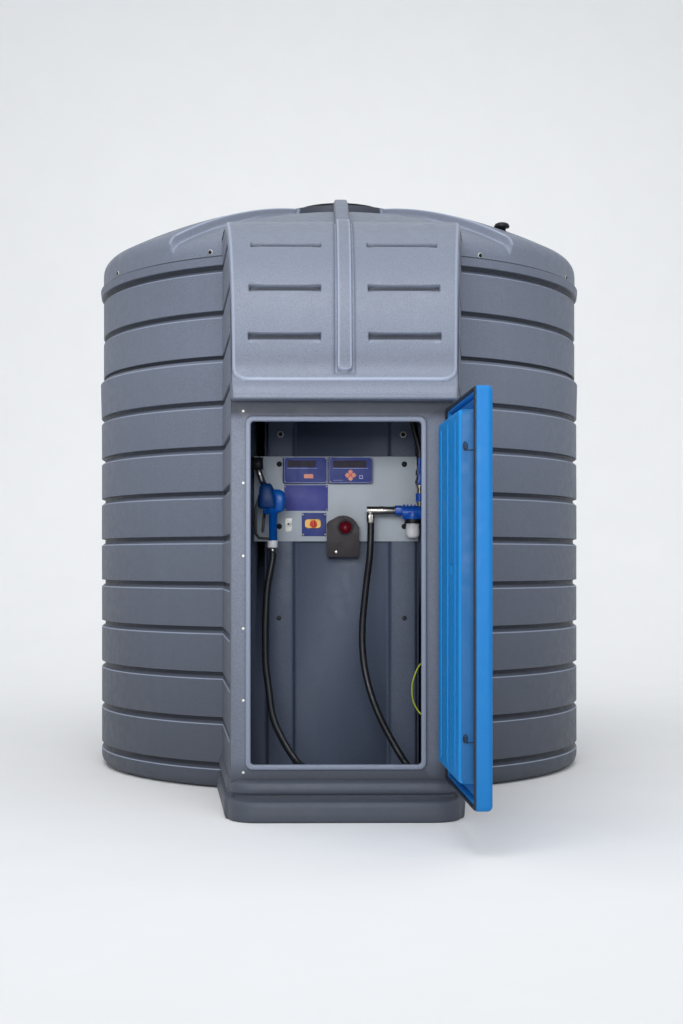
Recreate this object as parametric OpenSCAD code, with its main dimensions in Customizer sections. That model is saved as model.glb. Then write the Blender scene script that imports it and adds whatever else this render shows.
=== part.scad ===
// Round ribbed storage tank for diesel exhaust fluid, with a front dispensing
// cabinet. The origin is on the tank's axis at ground level, the cabinet faces -Y.
// The cabinet door is drawn open by door_rest degrees.

/* [Tank] */
// outside radius of the tank wall at its bands
tank_r = 1020; // [800:10:1300]
// thickness of the tank wall
wall_t = 12; // [8:1:20]
// height of the wall, where the roof cover sits
wall_h = 2000; // [1900:10:2200]
// number of grooves round the wall
grooves = 12; // [6:1:14]
// height of the lowest groove's centre
groove_first = 90.5; // [80:0.5:120]
// height of the plain band above the highest groove's centre
top_band = 39.5; // [30:0.5:60]
// half of a groove's height at the wall's face
groove_half = 20; // [12:1:28]
// depth of a groove
groove_d = 14; // [6:1:20]
// how far the two upper bands are set in
band_inset = 9; // [0:1:12]
// radius of the wall's rounded bottom edge
foot_round = 46; // [20:2:60]

/* [Roof cover] */
// how far the roof cover's skirt is set in from the wall
skirt_step = 8; // [4:1:10]
// height of the skirt above the wall
skirt_h = 100; // [60:5:140]
// rise of the domed top above the skirt
dome_rise = 260; // [150:10:400]
// thickness of the roof cover
roof_t = 10; // [6:1:16]
// width of a radial rib
rib_w = 55; // [30:5:80]
// height of a radial rib above the dome
rib_d = 12; // [6:1:20]
// outside radius of the manway collar
manway_r = 180; // [140:5:260]
// height of the manway collar
manway_h = 12; // [8:1:30]
// direction of the vent cap from the front, to the right
vent_angle = 50.5; // [45:0.5:60]
// how far the vent cap is in from the skirt
vent_in = 175; // [100:5:400]

/* [Cabinet] */
// how far the cabinet's front flange is from the tank's axis
front_y = 1592; // [1500:10:1700]
// half width of the cabinet at its front flange
front_half = 378; // [340:2:420]
// how much the half width grows towards the tank, for each mm of depth
flare = 0.105; // [0.05:0.005:0.15]
// thickness of the cabinet's walls
cab_t = 12; // [8:1:16]
// half width of the equipment recess
recess_half = 345; // [320:1:350]
// height of the recess floor
floor_h = 70; // [60:2:100]
// height of the recess ceiling
ceiling_h = 1400; // [1390:2:1440]
// how far the recess back wall is from the tank's axis
back_y = 830; // [760:5:860]
// how far the raised lip stands out from the flange
lip_d = 15; // [8:1:17]
// width of the doorway inside the lip
doorway_w = 566; // [540:2:570]
// height of the doorway inside the lip
doorway_h = 1138; // [1100:2:1150]
// sideways place of the doorway's middle
doorway_x = -29; // [-32:1:-20]
// height of the doorway's lower edge
doorway_z = 181; // [175:1:200]
// width of the lip's face
lip_w = 17; // [10:1:18]
// height of the hood's underside
visor_z = 1387; // [1375:1:1395]
// how far the hood's top is below the roof's shoulder
hood_drop = 25; // [15:1:60]
// thickness of the raised pad on the hood
pad_d = 15; // [8:1:20]
// height of the pad's lower edge
pad_z = 1445; // [1430:1:1460]
// height of the lowest slot above the pad's lower edge
slot_first = 157; // [120:1:170]
// distance from slot row to slot row
slot_pitch = 172; // [120:1:180]
// length of a hood slot
slot_l = 240; // [160:10:280]
// height of a hood slot
slot_h = 20; // [12:1:26]
// height of the base's lower step
foot_h = 71; // [60:1:74]
// how far the base's lower step stands in front of the flange
foot_d = 91; // [60:1:120]

/* [Door] */
// angle that the door is drawn open
door_rest = 92.5; // [90:0.5:96]
// sideways place of the hinge axis
hinge_x = 345; // [340:1:350]
// distance of the hinge axis in front of the flange
hinge_out = 18; // [16:1:20]
// distance from the hinge axis to the door's free edge
door_reach = 700; // [690:1:710]
// height of the door's lower edge
door_z = 136; // [134:1:144]
// height of the door
door_h = 1225; // [1200:5:1230]
// thickness of the door measured from the flange
door_t = 57; // [48:1:62]
// radius of the door's rounded edges
door_round = 15; // [8:1:18]
// how far the liner reaches into the recess
liner_in = 30; // [15:1:40]
// radius of a hinge pin
pin_r = 5; // [4:0.5:5]
// play between a hinge pin and its turning knuckle
pin_play = 0.1; // [0.05:0.01:0.1]

/* [Equipment panel] */
// width of the mounting panel
panel_w = 623; // [560:1:626]
// height of the mounting panel
panel_h = 322; // [300:2:340]
// height of the mounting panel's lower edge
panel_z = 931; // [900:1:950]
// thickness of the mounting panel
panel_t = 6; // [3:1:8]
// depth of the pilasters on the recess back wall
pilaster_d = 26; // [20:1:30]
// width of a display unit
display_w = 166; // [140:1:168]
// height of a display unit
display_h = 98; // [80:1:98]
// depth of a display unit
display_d = 40; // [25:1:50]
// radius of the red switch knob
knob_r = 13.5; // [10:0.5:15]
// depth of the alarm housing
alarm_d = 90; // [60:2:96]
// radius of the alarm lens
lens_r = 22; // [16:1:24]

/* [Pipework] */
// distance of the pipework from the tank's axis
pipe_y = 975; // [960:1:980]
// height of the steel outlet pipe
pipe_z = 1045; // [1040:1:1050]
// radius of the steel outlet pipe
pipe_r = 15; // [10:1:16]
// radius of the delivery hose
hose_r = 12.5; // [10:0.5:13]
// radius of the supply hose from the ceiling
supply_r = 11; // [8:0.5:12]
// length of the ball valve's lever
lever_l = 87; // [60:1:95]
// radius of the filter bowl
bowl_r = 25.5; // [20:0.5:32]

/* [Nozzle] */
// distance of the nozzle from the tank's axis
nozzle_y = 1080; // [1060:1:1100]
// radius of the nozzle's hand grip
grip_r = 15; // [12:0.5:18]
// radius of the nozzle's steel spout
spout_r = 11; // [8:0.5:14]

/* [Hidden] */
$fn = 48;
eps = 1;
gap = 0.5;
groove_pitch = (wall_h - top_band - groove_first) / (grooves - 1);
skirt_r = tank_r - skirt_step;
vent_r = skirt_r - vent_in;
skirt_top = wall_h + skirt_h;
apex = skirt_top + dome_rise;
dome_r = (skirt_r * skirt_r + dome_rise * dome_rise) / (2 * dome_rise);
dome_c = apex - dome_r;
neck_z = dome_z(manway_r + 10);
rib_angles = [0, 41, -41, 88, -88, 135, -135, 180];
cab_c = front_half + flare * front_y;
end_y = (-cab_c * flare - sqrt(pow(cab_c * flare, 2)
    - (1 + flare * flare) * (cab_c * cab_c - tank_r * tank_r))) / (1 + flare * flare);
end_x = half_w(end_y);
side_angle = atan2(end_x, -end_y);
segment_a = (180 - side_angle) * 2 / 7;
flange_back = -front_y + cab_t;
hood_cz = visor_z + 93;
hood_top = skirt_top - hood_drop;
hood_r = hood_top - hood_cz;
hood_cy = -front_y + hood_r - 3;
hinge_y = -front_y - hinge_out;
hinge_zs = [300, 750, 1200];
knuckle_r = 10;
knuckle_h = 28;
seal_t = 8;
rim_t = 38;
rim_hinge = 60;
rim_free = 20;
rim_z = 22;
pan_t = 20;
liner_s0 = hinge_x - doorway_x - doorway_w / 2 + 10;
liner_s1 = hinge_x - doorway_x + doorway_w / 2 - 48;
liner_z0 = doorway_z + 24;
liner_z1 = doorway_z + doorway_h - 19;
panel_x = -333;
panel_y = -back_y - pilaster_d - panel_t;
display_z = 1150;
display_xs = [-223, -51];
valve_x = 288;
valve_z = 1150;
filter_x = 262;
outlet_x = 106;
grip_x = -254;
spout_x = -280;
pivot_x = -284;
pivot_z = 1036;
coil_x = 85;
coil_y = -1310;
coil_r = 145.5;
coil_half = 45;

function half_w(y) = front_half + flare * (y + front_y);
function dome_z(r) = dome_c + sqrt(dome_r * dome_r - r * r);

// centre heights of the grooves and radius of the band over each one
function groove_z(i) = groove_first + groove_pitch * i;
function band_r(i) = (i == grooves - 2 || i == grooves - 3) ? tank_r - band_inset : tank_r;
function groove_points(i, off) = let (z = groove_z(i), low = band_r(i - 1), up = band_r(i)) [
    [low - off, z - groove_half], [low - groove_d * 0.3 - off, z - groove_half * 0.7],
    [tank_r - groove_d - off, z - groove_half * 0.05],
    [tank_r - groove_d - off, z + groove_half * 0.25],
    [up - groove_d * 0.2 - off, z + groove_half * 0.8], [up - off, z + groove_half]];
function wall_side(off) = [for (i = [0:grooves - 1]) each groove_points(i, off)];
function foot_arc(off) = [for (a = [0:15:90])
    [tank_r - foot_round + (foot_round - off) * sin(a), foot_round - (foot_round - off) * cos(a)]];
function flip(list) = [for (i = [len(list) - 1:-1:0]) list[i]];

function wall_profile() = concat(
    foot_arc(0), wall_side(0), [[tank_r + 3, wall_h - 12], [tank_r + 3, wall_h]],
    [[tank_r - wall_t - 8, wall_h]], flip(wall_side(wall_t)), flip(foot_arc(wall_t)));

// outline of the dome from the manway to the skirt's lower edge, grown by off
function dome_line(off) = concat(
    [for (k = [0:14]) let (r = manway_r + 10 + (skirt_r - 27 - manway_r) * k / 14)
        [r * (1 + off / dome_r), dome_z(r) + off]],
    [[skirt_r - 6 + off, skirt_top - 8 + off], [skirt_r + off, skirt_top - 24 + off * 0.5]]);

function arc_points(cx, cy, r, a0, a1, n) = [for (k = [0:n])
    let (a = a0 + (a1 - a0) * k / n) [cx + r * cos(a), cy + r * sin(a)]];

// the hood's face in side view, from the visor to the top, moved in by off
function hood_line(off) = concat(
    [[-front_y - 68 + off, visor_z + (off > 0 ? cab_t : 0)], [-front_y - 66 + off, visor_z + 21],
     [-front_y - 53 + off, visor_z + 45], [-front_y - 33 + off, visor_z + 65],
     [-front_y - 17 + off, visor_z + 91], [-front_y - 5 + off, visor_z + 125]],
    arc_points(hood_cy, hood_cz, hood_r - off, 172, 90, 14),
    [[-skirt_r * 0.8, hood_top - off]]);

module ring_sector(a0, a1) {
    rotate([0, 0, a0 - 90])
        rotate_extrude(angle = a1 - a0, $fn = 96) polygon(wall_profile());
}

module wall_pair(k) {
    for (side = [-1, 1])
        ring_sector(side * (side_angle + segment_a * (k + 0.5)) - segment_a / 2,
                    side * (side_angle + segment_a * (k + 0.5)) + segment_a / 2);
}

module wall_front() {
    color([0.50, 0.53, 0.58]) wall_pair(0);
}

module wall_side_pair() {
    color([0.50, 0.53, 0.58]) wall_pair(1);
}

module wall_rear() {
    color([0.50, 0.53, 0.58]) wall_pair(2);
}

module wall_back() {
    color([0.50, 0.53, 0.58])
        ring_sector(180 - segment_a / 2, 180 + segment_a / 2);
}

module tank_floor() {
    color([0.40, 0.43, 0.48]) cylinder(r = tank_r - foot_round - 0.1, h = wall_t, $fn = 96);
}

// everything under the dome's outer face
module dome_solid(off) {
    rotate_extrude($fn = 96)
        polygon(concat([[0, wall_h - 10], [0, neck_z + off]], dome_line(off),
                       [[skirt_r + off, wall_h - 10]]));
}

module roof_cover() {
    color([0.54, 0.57, 0.62])
        rotate_extrude($fn = 96)
            polygon(concat(
                [[manway_r - 30, neck_z]], dome_line(0),
                [[skirt_r, wall_h + 8], [skirt_r + 5, wall_h + 5], [skirt_r + 5, wall_h],
                 [skirt_r - roof_t - 4, wall_h], [skirt_r - roof_t, wall_h + 8]],
                flip(dome_line(-roof_t)), [[manway_r - 30, neck_z - roof_t]]));
}

module roof_ribs() {
    color([0.58, 0.61, 0.66])
        for (a = rib_angles)
            rotate([0, 0, a])
                intersection() {
                    rotate([90, 0, -90])
                        translate([0, 0, -rib_w / 2])
                            linear_extrude(rib_w)
                                polygon(concat([[skirt_r, skirt_top - 40]], flip(dome_line(0)),
                                               dome_line(rib_d), [[skirt_r + rib_d, skirt_top - 32]]));
                    translate([-rib_w, -skirt_r - 50, a == 0 ? hood_top + pad_d + rib_d + gap : wall_h])
                        cube([2 * rib_w, skirt_r, dome_rise + skirt_h]);
                }
}

module manway_collar() {
    color([0.16, 0.17, 0.20])
        translate([0, 0, neck_z])
            difference() {
                cylinder(r = manway_r, h = manway_h, $fn = 72);
                translate([0, 0, -eps]) cylinder(r = manway_r - 30, h = manway_h + 2 * eps, $fn = 72);
            }
}

module manway_lid() {
    color([0.20, 0.21, 0.24])
        translate([0, 0, neck_z + manway_h])
            rotate_extrude($fn = 72)
                polygon([[0, 0], [manway_r + 5, 0], [manway_r + 5, 8], [manway_r - 10, 12], [0, 14]]);
}

module vent_cap() {
    color([0.10, 0.10, 0.11])
        rotate([0, 0, vent_angle])
            difference() {
                translate([0, -vent_r, dome_z(vent_r)])
                    rotate_extrude()
                        polygon([[0, -20], [16, -20], [16, 8], [30, 8], [31, 14],
                                 [27, 22], [16, 27], [0, 28]]);
                dome_solid(0);
            }
}

// plan of the cabinet between two half widths, from y0 back to y1
module plan_prism(inset, y0, y1, z0, z1) {
    translate([0, 0, z0])
        linear_extrude(z1 - z0)
            polygon([[-half_w(y0) + inset, y0], [half_w(y0) - inset, y0],
                     [half_w(y1) - inset, y1], [-half_w(y1) + inset, y1]]);
}

// a side view outline drawn through the whole width
module side_prism(points, half) {
    translate([half, 0, 0])
        rotate([0, -90, 0])
            linear_extrude(2 * half)
                polygon([for (p = points) [p[1], p[0]]]);
}

module side_wall(side) {
    intersection() {
        scale([side, 1, 1])
            linear_extrude(hood_top)
                polygon([[half_w(-front_y - 80), -front_y - 80], [end_x, end_y],
                         [(tank_r - 30) * sin(side_angle), -(tank_r - 30) * cos(side_angle)],
                         [(tank_r - 30) * sin(side_angle) - cab_t, -(tank_r - 30) * cos(side_angle)],
                         [half_w(-front_y - 80) - cab_t, -front_y - 80]]);
        side_prism(concat([[flange_back, 0], [flange_back, ceiling_h + cab_t],
                           [-front_y, ceiling_h + cab_t], [-front_y, visor_z + cab_t]],
                          hood_line(cab_t), [[-skirt_r * 0.8, 0]]), tank_r);
    }
}

module cabinet_sides() {
    color([0.45, 0.48, 0.53])
        difference() {
            for (side = [-1, 1]) side_wall(side);
            translate([0, 0, wall_h]) cylinder(r = skirt_r + 5, h = skirt_h, $fn = 96);
        }
}

module cabinet_hood() {
    color([0.60, 0.63, 0.69])
        difference() {
            intersection() {
                side_prism(concat([[-front_y, visor_z]], hood_line(0), flip(hood_line(cab_t)),
                                  [[-front_y, visor_z + cab_t]]), tank_r);
                plan_prism(0, -front_y - 80, -skirt_r * 0.8, 0, hood_top + 10);
            }
            cylinder(r = skirt_r, h = apex, $fn = 96);
            translate([0, 0, wall_h - 100]) cylinder(r = skirt_r + 5, h = 108, $fn = 96);
        }
}

// the hood's face pushed out by d
module hood_layer(d0, d1, inset, z0) {
    difference() {
        intersection() {
            side_prism(concat(hood_line(-d1), flip(hood_line(-d0))), tank_r);
            plan_prism(inset, -front_y - 110, -skirt_r * 0.8, z0, hood_top + 60);
        }
        cylinder(r = skirt_r, h = apex, $fn = 96);
    }
}

module hood_pad() {
    color([0.64, 0.67, 0.73]) {
        difference() {
            hood_layer(0, pad_d, 10, pad_z);
            for (row = [0:2], side = [-1, 1])
                translate([side * 200 - slot_l / 2, -front_y - 100, pad_z + slot_first + row * slot_pitch - slot_h / 2])
                    cube([slot_l, 400, slot_h]);
        }
        intersection() {
            hood_layer(pad_d - 2, pad_d + rib_d, 10, pad_z + 35);
            translate([-23.5, -front_y - 110, 0]) cube([47, front_y, apex]);
        }
    }
}

// plan of the base, with rounded front corners
function base_plan(front, spread) = let (r = 100, h = half_w(front) + spread)
    concat(arc_points(-h + r, front + r, r, 180, 270, 8), arc_points(h - r, front + r, r, 270, 360, 8),
           [[half_w(end_y + 30) + spread, end_y + 30], [-half_w(end_y + 30) - spread, end_y + 30]]);

module base_step(front, spread, z0, z1) {
    translate([0, 0, z0]) linear_extrude(z1 - z0) polygon(base_plan(front, spread));
}

module cabinet_base() {
    color([0.42, 0.45, 0.50])
        difference() {
            union() {
                base_step(-front_y - foot_d, 20, 0, foot_h - 10);
                base_step(-front_y - foot_d + 8, 14, foot_h - 11, foot_h);
                base_step(-front_y - 34, 6, foot_h - 1, 87);
                base_step(-front_y - 48, 12, 86, 120);
                base_step(-front_y - 42, 8, 119, 128);
            }
            plan_prism(0, -front_y, end_y + 60, -eps, 200);
            translate([0, 0, -eps]) cylinder(r = tank_r, h = 200, $fn = 240);
        }
}

module rounded_frame(x, z, w, h, r, y0, y1) {
    translate([x, y1, z])
        rotate([90, 0, 0])
            linear_extrude(y1 - y0)
                polygon(concat(arc_points(w / 2 - r, r, r, 270, 360, 6),
                               arc_points(w / 2 - r, h - r, r, 0, 90, 6),
                               arc_points(-w / 2 + r, h - r, r, 90, 180, 6),
                               arc_points(-w / 2 + r, r, r, 180, 270, 6)));
}

module cabinet_frame() {
    color([0.46, 0.49, 0.54])
        difference() {
            union() {
                plan_prism(0, -front_y, flange_back, 0, ceiling_h + cab_t);
                rounded_frame(doorway_x, doorway_z - lip_w, doorway_w + 2 * lip_w, doorway_h + 2 * lip_w,
                              24, -front_y - lip_d, -front_y + 1);
            }
            rounded_frame(doorway_x, doorway_z, doorway_w, doorway_h, 12, -front_y - 60, -front_y + 60);
        }
}

module recess_floor() {
    color([0.30, 0.33, 0.38])
        translate([-recess_half - cab_t, flange_back, floor_h - cab_t])
            cube([2 * (recess_half + cab_t), -flange_back - back_y, cab_t]);
}

module recess_ceiling() {
    color([0.26, 0.29, 0.34])
        translate([-recess_half - cab_t, flange_back, ceiling_h])
            cube([2 * (recess_half + cab_t), -flange_back - back_y, cab_t]);
}

module recess_sides() {
    color([0.28, 0.31, 0.36])
        for (side = [-1, 1])
            translate([side * (recess_half + cab_t / 2) - cab_t / 2, flange_back, floor_h])
                cube([cab_t, -flange_back - back_y, ceiling_h - floor_h]);
}

module recess_back() {
    color([0.33, 0.36, 0.41]) {
        translate([-recess_half - cab_t, -back_y, floor_h - cab_t])
            cube([2 * (recess_half + cab_t), cab_t, ceiling_h - floor_h + 2 * cab_t]);
        for (side = [-1, 1])
            translate([side * 232.5, -back_y + 1, floor_h])
                linear_extrude(ceiling_h - floor_h)
                    polygon([[-55, 0], [-47, -pilaster_d - 1], [47, -pilaster_d - 1], [55, 0]]);
    }
}

// door pieces are drawn closed about the hinge axis, then turned to rest
module at_door() {
    translate([hinge_x, hinge_y, 0]) rotate([0, 0, door_rest]) children();
}

// a block of the door: s runs from the hinge axis to the free edge, t outwards
module door_block(s0, s1, t0, t1, z0, z1) {
    translate([-s1, hinge_out - t1, z0]) cube([s1 - s0, t1 - t0, z1 - z0]);
}

module door_outline() {
    r = door_round;
    far = hinge_out - door_t;
    translate([0, 0, door_z])
        linear_extrude(door_h)
            polygon(concat([[12, hinge_out - seal_t], [-door_reach, hinge_out - seal_t]],
                           arc_points(-door_reach + r, far + r, r, 180, 270, 6),
                           arc_points(12 - r, far + r, r, 270, 360, 6)));
}

module door_skin() {
    color([0.09, 0.54, 0.80])
        at_door()
            difference() {
                door_outline();
                door_block(rim_hinge, door_reach - rim_free, 0, rim_t, door_z + rim_z, door_z + door_h - rim_z);
                door_block(30, door_reach - 30, door_t - 9, door_t + 5, door_z + 60, door_z + door_h - 60);
                for (z = hinge_zs)
                    door_block(-20, knuckle_r + 3, 0, hinge_out + knuckle_r + 3, z - 45, z + 45);
            }
}

module door_liner() {
    color([0.05, 0.42, 0.66])
        at_door()
            difference() {
                union() {
                    door_block(rim_hinge, door_reach - rim_free, pan_t, pan_t + 6,
                               door_z + rim_z, door_z + door_h - rim_z);
                    difference() {
                        door_block(liner_s0, liner_s1, -liner_in, pan_t + 1, liner_z0, liner_z1);
                        for (k = [1, 3, 5])
                            translate([-liner_s0 - (liner_s1 - liner_s0) * k / 6, hinge_out + liner_in, liner_z0 + 35])
                                cylinder(r = 12, h = liner_z1 - liner_z0 - 70, $fn = 24);
                    }
                }
                door_block(liner_s0 + 20, liner_s1 - 20, -liner_in + 20, pan_t + 8, liner_z0 + 20, liner_z1 - 20);
            }
}

module door_seal() {
    color([0.04, 0.06, 0.10])
        at_door()
            difference() {
                door_block(20, door_reach - 2, gap, seal_t, door_z + 3, door_z + door_h - 3);
                door_block(rim_hinge - 10, door_reach - rim_free + 3, -1, seal_t + 1,
                           door_z + rim_z - 3, door_z + door_h - rim_z + 3);
            }
}

module door_latches() {
    color([0.12, 0.14, 0.18])
        at_door()
            for (z = [liner_z0 + 126, liner_z1 - 115]) {
                door_block(liner_s1, liner_s1 + 15, -12, 12, z - 32, z + 32);
                translate([-liner_s1 - 12, hinge_out - 5, z]) rotate([0, -90, 0]) cylinder(r = 4, h = 27);
            }
}

module hinge_knuckle(z, h, bore) {
    translate([0, 0, z])
        difference() {
            cylinder(r = knuckle_r, h = h);
            translate([0, 0, -eps]) cylinder(r = bore, h = h + 2 * eps);
        }
}

module hinge_leaves() {
    color([0.20, 0.21, 0.24])
        translate([hinge_x, hinge_y, 0])
            for (z = hinge_zs, e = [-1, 1])
                difference() {
                    union() {
                        translate([0, 0, z + e * 28 - 12]) cylinder(r = knuckle_r, h = 24);
                        translate([-6, 0, z + e * 28 - 12]) cube([12, hinge_out, 24]);
                    }
                    translate([0, 0, z + e * 28 - 13]) cylinder(r = pin_r, h = 26);
                }
}

module hinge_pins() {
    color([0.60, 0.60, 0.62])
        for (z = hinge_zs)
            translate([hinge_x, hinge_y, z - 42]) cylinder(r = pin_r, h = 84);
}

module door_knuckles() {
    color([0.20, 0.21, 0.24])
        at_door()
            for (z = hinge_zs)
                difference() {
                    union() {
                        translate([0, 0, z - knuckle_h / 2]) cylinder(r = knuckle_r, h = knuckle_h);
                        door_block(0, knuckle_r + 3, 10, 26, z - knuckle_h / 2, z + knuckle_h / 2);
                    }
                    translate([0, 0, z - knuckle_h / 2 - eps]) cylinder(r = pin_r + pin_play, h = knuckle_h + 2 * eps);
                }
}

// a block standing out from the mounting panel
module on_panel(x0, x1, d0, d1, z0, z1) {
    translate([x0, panel_y - d1, z0]) cube([x1 - x0, d1 - d0, z1 - z0]);
}

module mounting_panel() {
    color([0.66, 0.70, 0.74])
        translate([panel_x, panel_y, panel_z]) cube([panel_w, panel_t, panel_h]);
}

module display_cases() {
    color([0.26, 0.33, 0.58])
        for (x = display_xs)
            on_panel(x, x + display_w, 0, display_d, display_z, display_z + display_h);
}

module display_screens() {
    color([0.12, 0.14, 0.22])
        for (x = display_xs)
            on_panel(x + display_w * 0.34, x + display_w * 0.9, display_d, display_d + 2,
                     display_z + 40, display_z + 76);
}

module display_keys() {
    color([0.80, 0.50, 0.42])
        for (x = display_xs)
            on_panel(x + 8, x + 46, display_d, display_d + 3, display_z + 26, display_z + 44);
}

module info_plate() {
    color([0.70, 0.73, 0.77]) on_panel(-218, -53, 0, 3, 1047, 1144);
}

module switch_plate() {
    color([0.62, 0.65, 0.70]) on_panel(-152, -59, 0, 5, 951, 1039);
}

module switch_base() {
    color([0.90, 0.70, 0.25]) on_panel(-140, -80, 5, 13, 980, 1016);
}

module switch_knob() {
    color([0.85, 0.28, 0.12])
        translate([-108, panel_y - 13, 997])
            rotate([90, 0, 0]) {
                cylinder(r = knob_r, h = 12);
                translate([-4, -knob_r, 0]) cube([8, 2 * knob_r, 26]);
            }
}

module key_switch() {
    color([0.45, 0.46, 0.48]) {
        on_panel(-214, -190, 0, 10, 968, 1018);
        translate([-202, panel_y - 9, 997]) rotate([90, 0, 0]) cylinder(r = 8, h = 14);
    }
}

module alarm_housing() {
    color([0.18, 0.17, 0.19]) {
        on_panel(-57, 64, 0, alarm_d, 872, 985);
        translate([3.5, panel_y, 966]) rotate([90, 0, 0]) cylinder(r = 60.5, h = alarm_d);
    }
}

module alarm_lens() {
    color([0.45, 0.08, 0.14])
        translate([12, panel_y - alarm_d, 982])
            rotate([90, 0, 0]) {
                cylinder(r = lens_r, h = 6);
                translate([0, 0, 5]) cylinder(r = lens_r * 0.8, h = 6);
            }
}

module along_x(x0, x1, r, z) {
    translate([x0, -pipe_y, z]) rotate([0, 90, 0]) cylinder(r = r, h = x1 - x0);
}

module along_z(x, z0, z1, r) {
    translate([x, -pipe_y, z0]) cylinder(r = r, h = z1 - z0);
}

module outlet_pipe() {
    color([0.60, 0.58, 0.55]) {
        along_x(outlet_x - pipe_r, 196, pipe_r, pipe_z);
        along_z(outlet_x, 1028, pipe_z, 14);
        translate([outlet_x, -pipe_y, 1000]) cylinder(r = 15, h = 29, $fn = 6);
    }
}

module outlet_nut() {
    color([0.12, 0.35, 0.70])
        translate([196, -pipe_y, pipe_z]) rotate([0, 90, 0]) cylinder(r = 19, h = 27, $fn = 6);
}

module filter_head() {
    color([0.12, 0.35, 0.73]) {
        along_x(223, 303, 25, 1037);
        along_z(filter_x, 1012, 1037, 30);
    }
}

module filter_bracket() {
    color([0.35, 0.37, 0.40])
        difference() {
            translate([filter_x - 15, -pipe_y, 1024]) cube([30, pipe_y + panel_y, 26]);
            along_x(223, 303, 25, 1037);
            along_z(filter_x, 1000, 1037, 30);
        }
}

module filter_ring() {
    color([0.10, 0.11, 0.14]) along_z(filter_x, 996, 1012, 30);
}

module filter_bowl() {
    color([0.88, 0.88, 0.88])
        translate([filter_x, -pipe_y, 943])
            rotate_extrude()
                polygon([[0, 0], [bowl_r - 9, 0], [bowl_r - 3, 4], [bowl_r, 12], [bowl_r, 53], [0, 53]]);
}

module pipe_fittings() {
    color([0.14, 0.38, 0.72])
        difference() {
            union() {
                along_z(valve_x, 1040, valve_z - 20, 9);
                along_z(valve_x, 1076, 1109, 14);
                along_z(valve_x, valve_z + 20, 1212, 10);
                translate([valve_x, -pipe_y, 1176]) cylinder(r = 15, h = 20, $fn = 6);
            }
            along_x(200, 330, 25.05, 1037);
        }
}

module valve_body() {
    color([0.55, 0.56, 0.58]) {
        along_z(valve_x, valve_z - 20, valve_z + 20, 13);
        translate([valve_x, -pipe_y, valve_z]) sphere(r = 18);
        translate([valve_x, -pipe_y, valve_z]) rotate([90, 0, 0]) cylinder(r = 6, h = 28);
    }
}

module valve_lever() {
    color([0.10, 0.30, 0.65])
        translate([valve_x, -pipe_y - 28 - gap, valve_z])
            rotate([90, 0, 0]) {
                cylinder(r = 10, h = 4);
                translate([-8, 0, 0]) cube([10, lever_l, 4]);
                translate([-8, lever_l * 0.35, 0]) cube([10, lever_l * 0.65, 9]);
            }
}

// the spout's line, from the nozzle's body up into the holder
module at_spout() {
    translate([spout_x, -nozzle_y, 1112]) rotate([0, -20, 0]) children();
}

module nozzle_holder() {
    color([0.08, 0.08, 0.09])
        difference() {
            union() {
                translate([-recess_half, -nozzle_y - 18, 1190]) cube([37, 36, 44]);
                translate([-308, -nozzle_y, 1190]) cylinder(r = 18, h = 44);
            }
            at_spout() cylinder(r = spout_r, h = 112);
        }
}

module nozzle_spout() {
    color([0.62, 0.61, 0.60]) at_spout() translate([0, 0, 22]) cylinder(r = spout_r, h = 90);
}

module nozzle_body() {
    color([0.07, 0.28, 0.60]) {
        translate([grip_x, -nozzle_y, 931]) cylinder(r = grip_r, h = 105);
        hull() {
            translate([grip_x, -nozzle_y, 1028]) cylinder(r = grip_r + 3, h = 20, $fn = 32);
            translate([grip_x - 20, -nozzle_y, 1100]) sphere(r = 28, $fn = 24);
        }
        at_spout() cylinder(r = 17, h = 22);
        for (e = [-1, 1])
            translate([pivot_x - 6, -nozzle_y + e * 7.5 - 1.5, pivot_z - 8]) cube([grip_x - pivot_x, 3, 16]);
        translate([pivot_x, -nozzle_y + 9, pivot_z]) rotate([90, 0, 0]) cylinder(r = 2.5, h = 18);
    }
}

module nozzle_guard() {
    color([0.07, 0.07, 0.08])
        difference() {
            translate([0, -nozzle_y + 9, 0])
                rotate([90, 0, 0])
                    linear_extrude(18)
                        polygon([[-298, 1100], [-306, 1100], [-322, 1050], [-322, 955], [-308, 936],
                                 [grip_x, 932], [grip_x, 942], [-303, 946], [-312, 958], [-312, 1048]]);
            translate([grip_x - 20, -nozzle_y, 1100]) sphere(r = 28.3, $fn = 48);
            translate([grip_x, -nozzle_y, 900]) cylinder(r = grip_r, h = 100);
        }
}

module nozzle_trigger() {
    color([0.07, 0.07, 0.08])
        translate([0, -nozzle_y + 5, 0])
            rotate([90, 0, 0])
                difference() {
                    union() {
                        linear_extrude(10)
                            polygon([[pivot_x - 6, pivot_z], [pivot_x + 5, pivot_z], [-283, 1000],
                                     [-286, 966], [-294, 956], [-297, 966], [-295, 1000]]);
                        translate([pivot_x, pivot_z, 0]) cylinder(r = 6, h = 10);
                    }
                    translate([pivot_x, pivot_z, -eps]) cylinder(r = 2.5 + pin_play, h = 12);
                }
}

module hose_swivel() {
    color([0.85, 0.86, 0.88])
        translate([grip_x - 2, -nozzle_y, 906]) cylinder(r = 19, h = 25);
}

module hose_fitting() {
    color([0.60, 0.60, 0.60])
        translate([grip_x - 2, -nozzle_y, 888]) cylinder(r = 14, h = 18);
}

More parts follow.
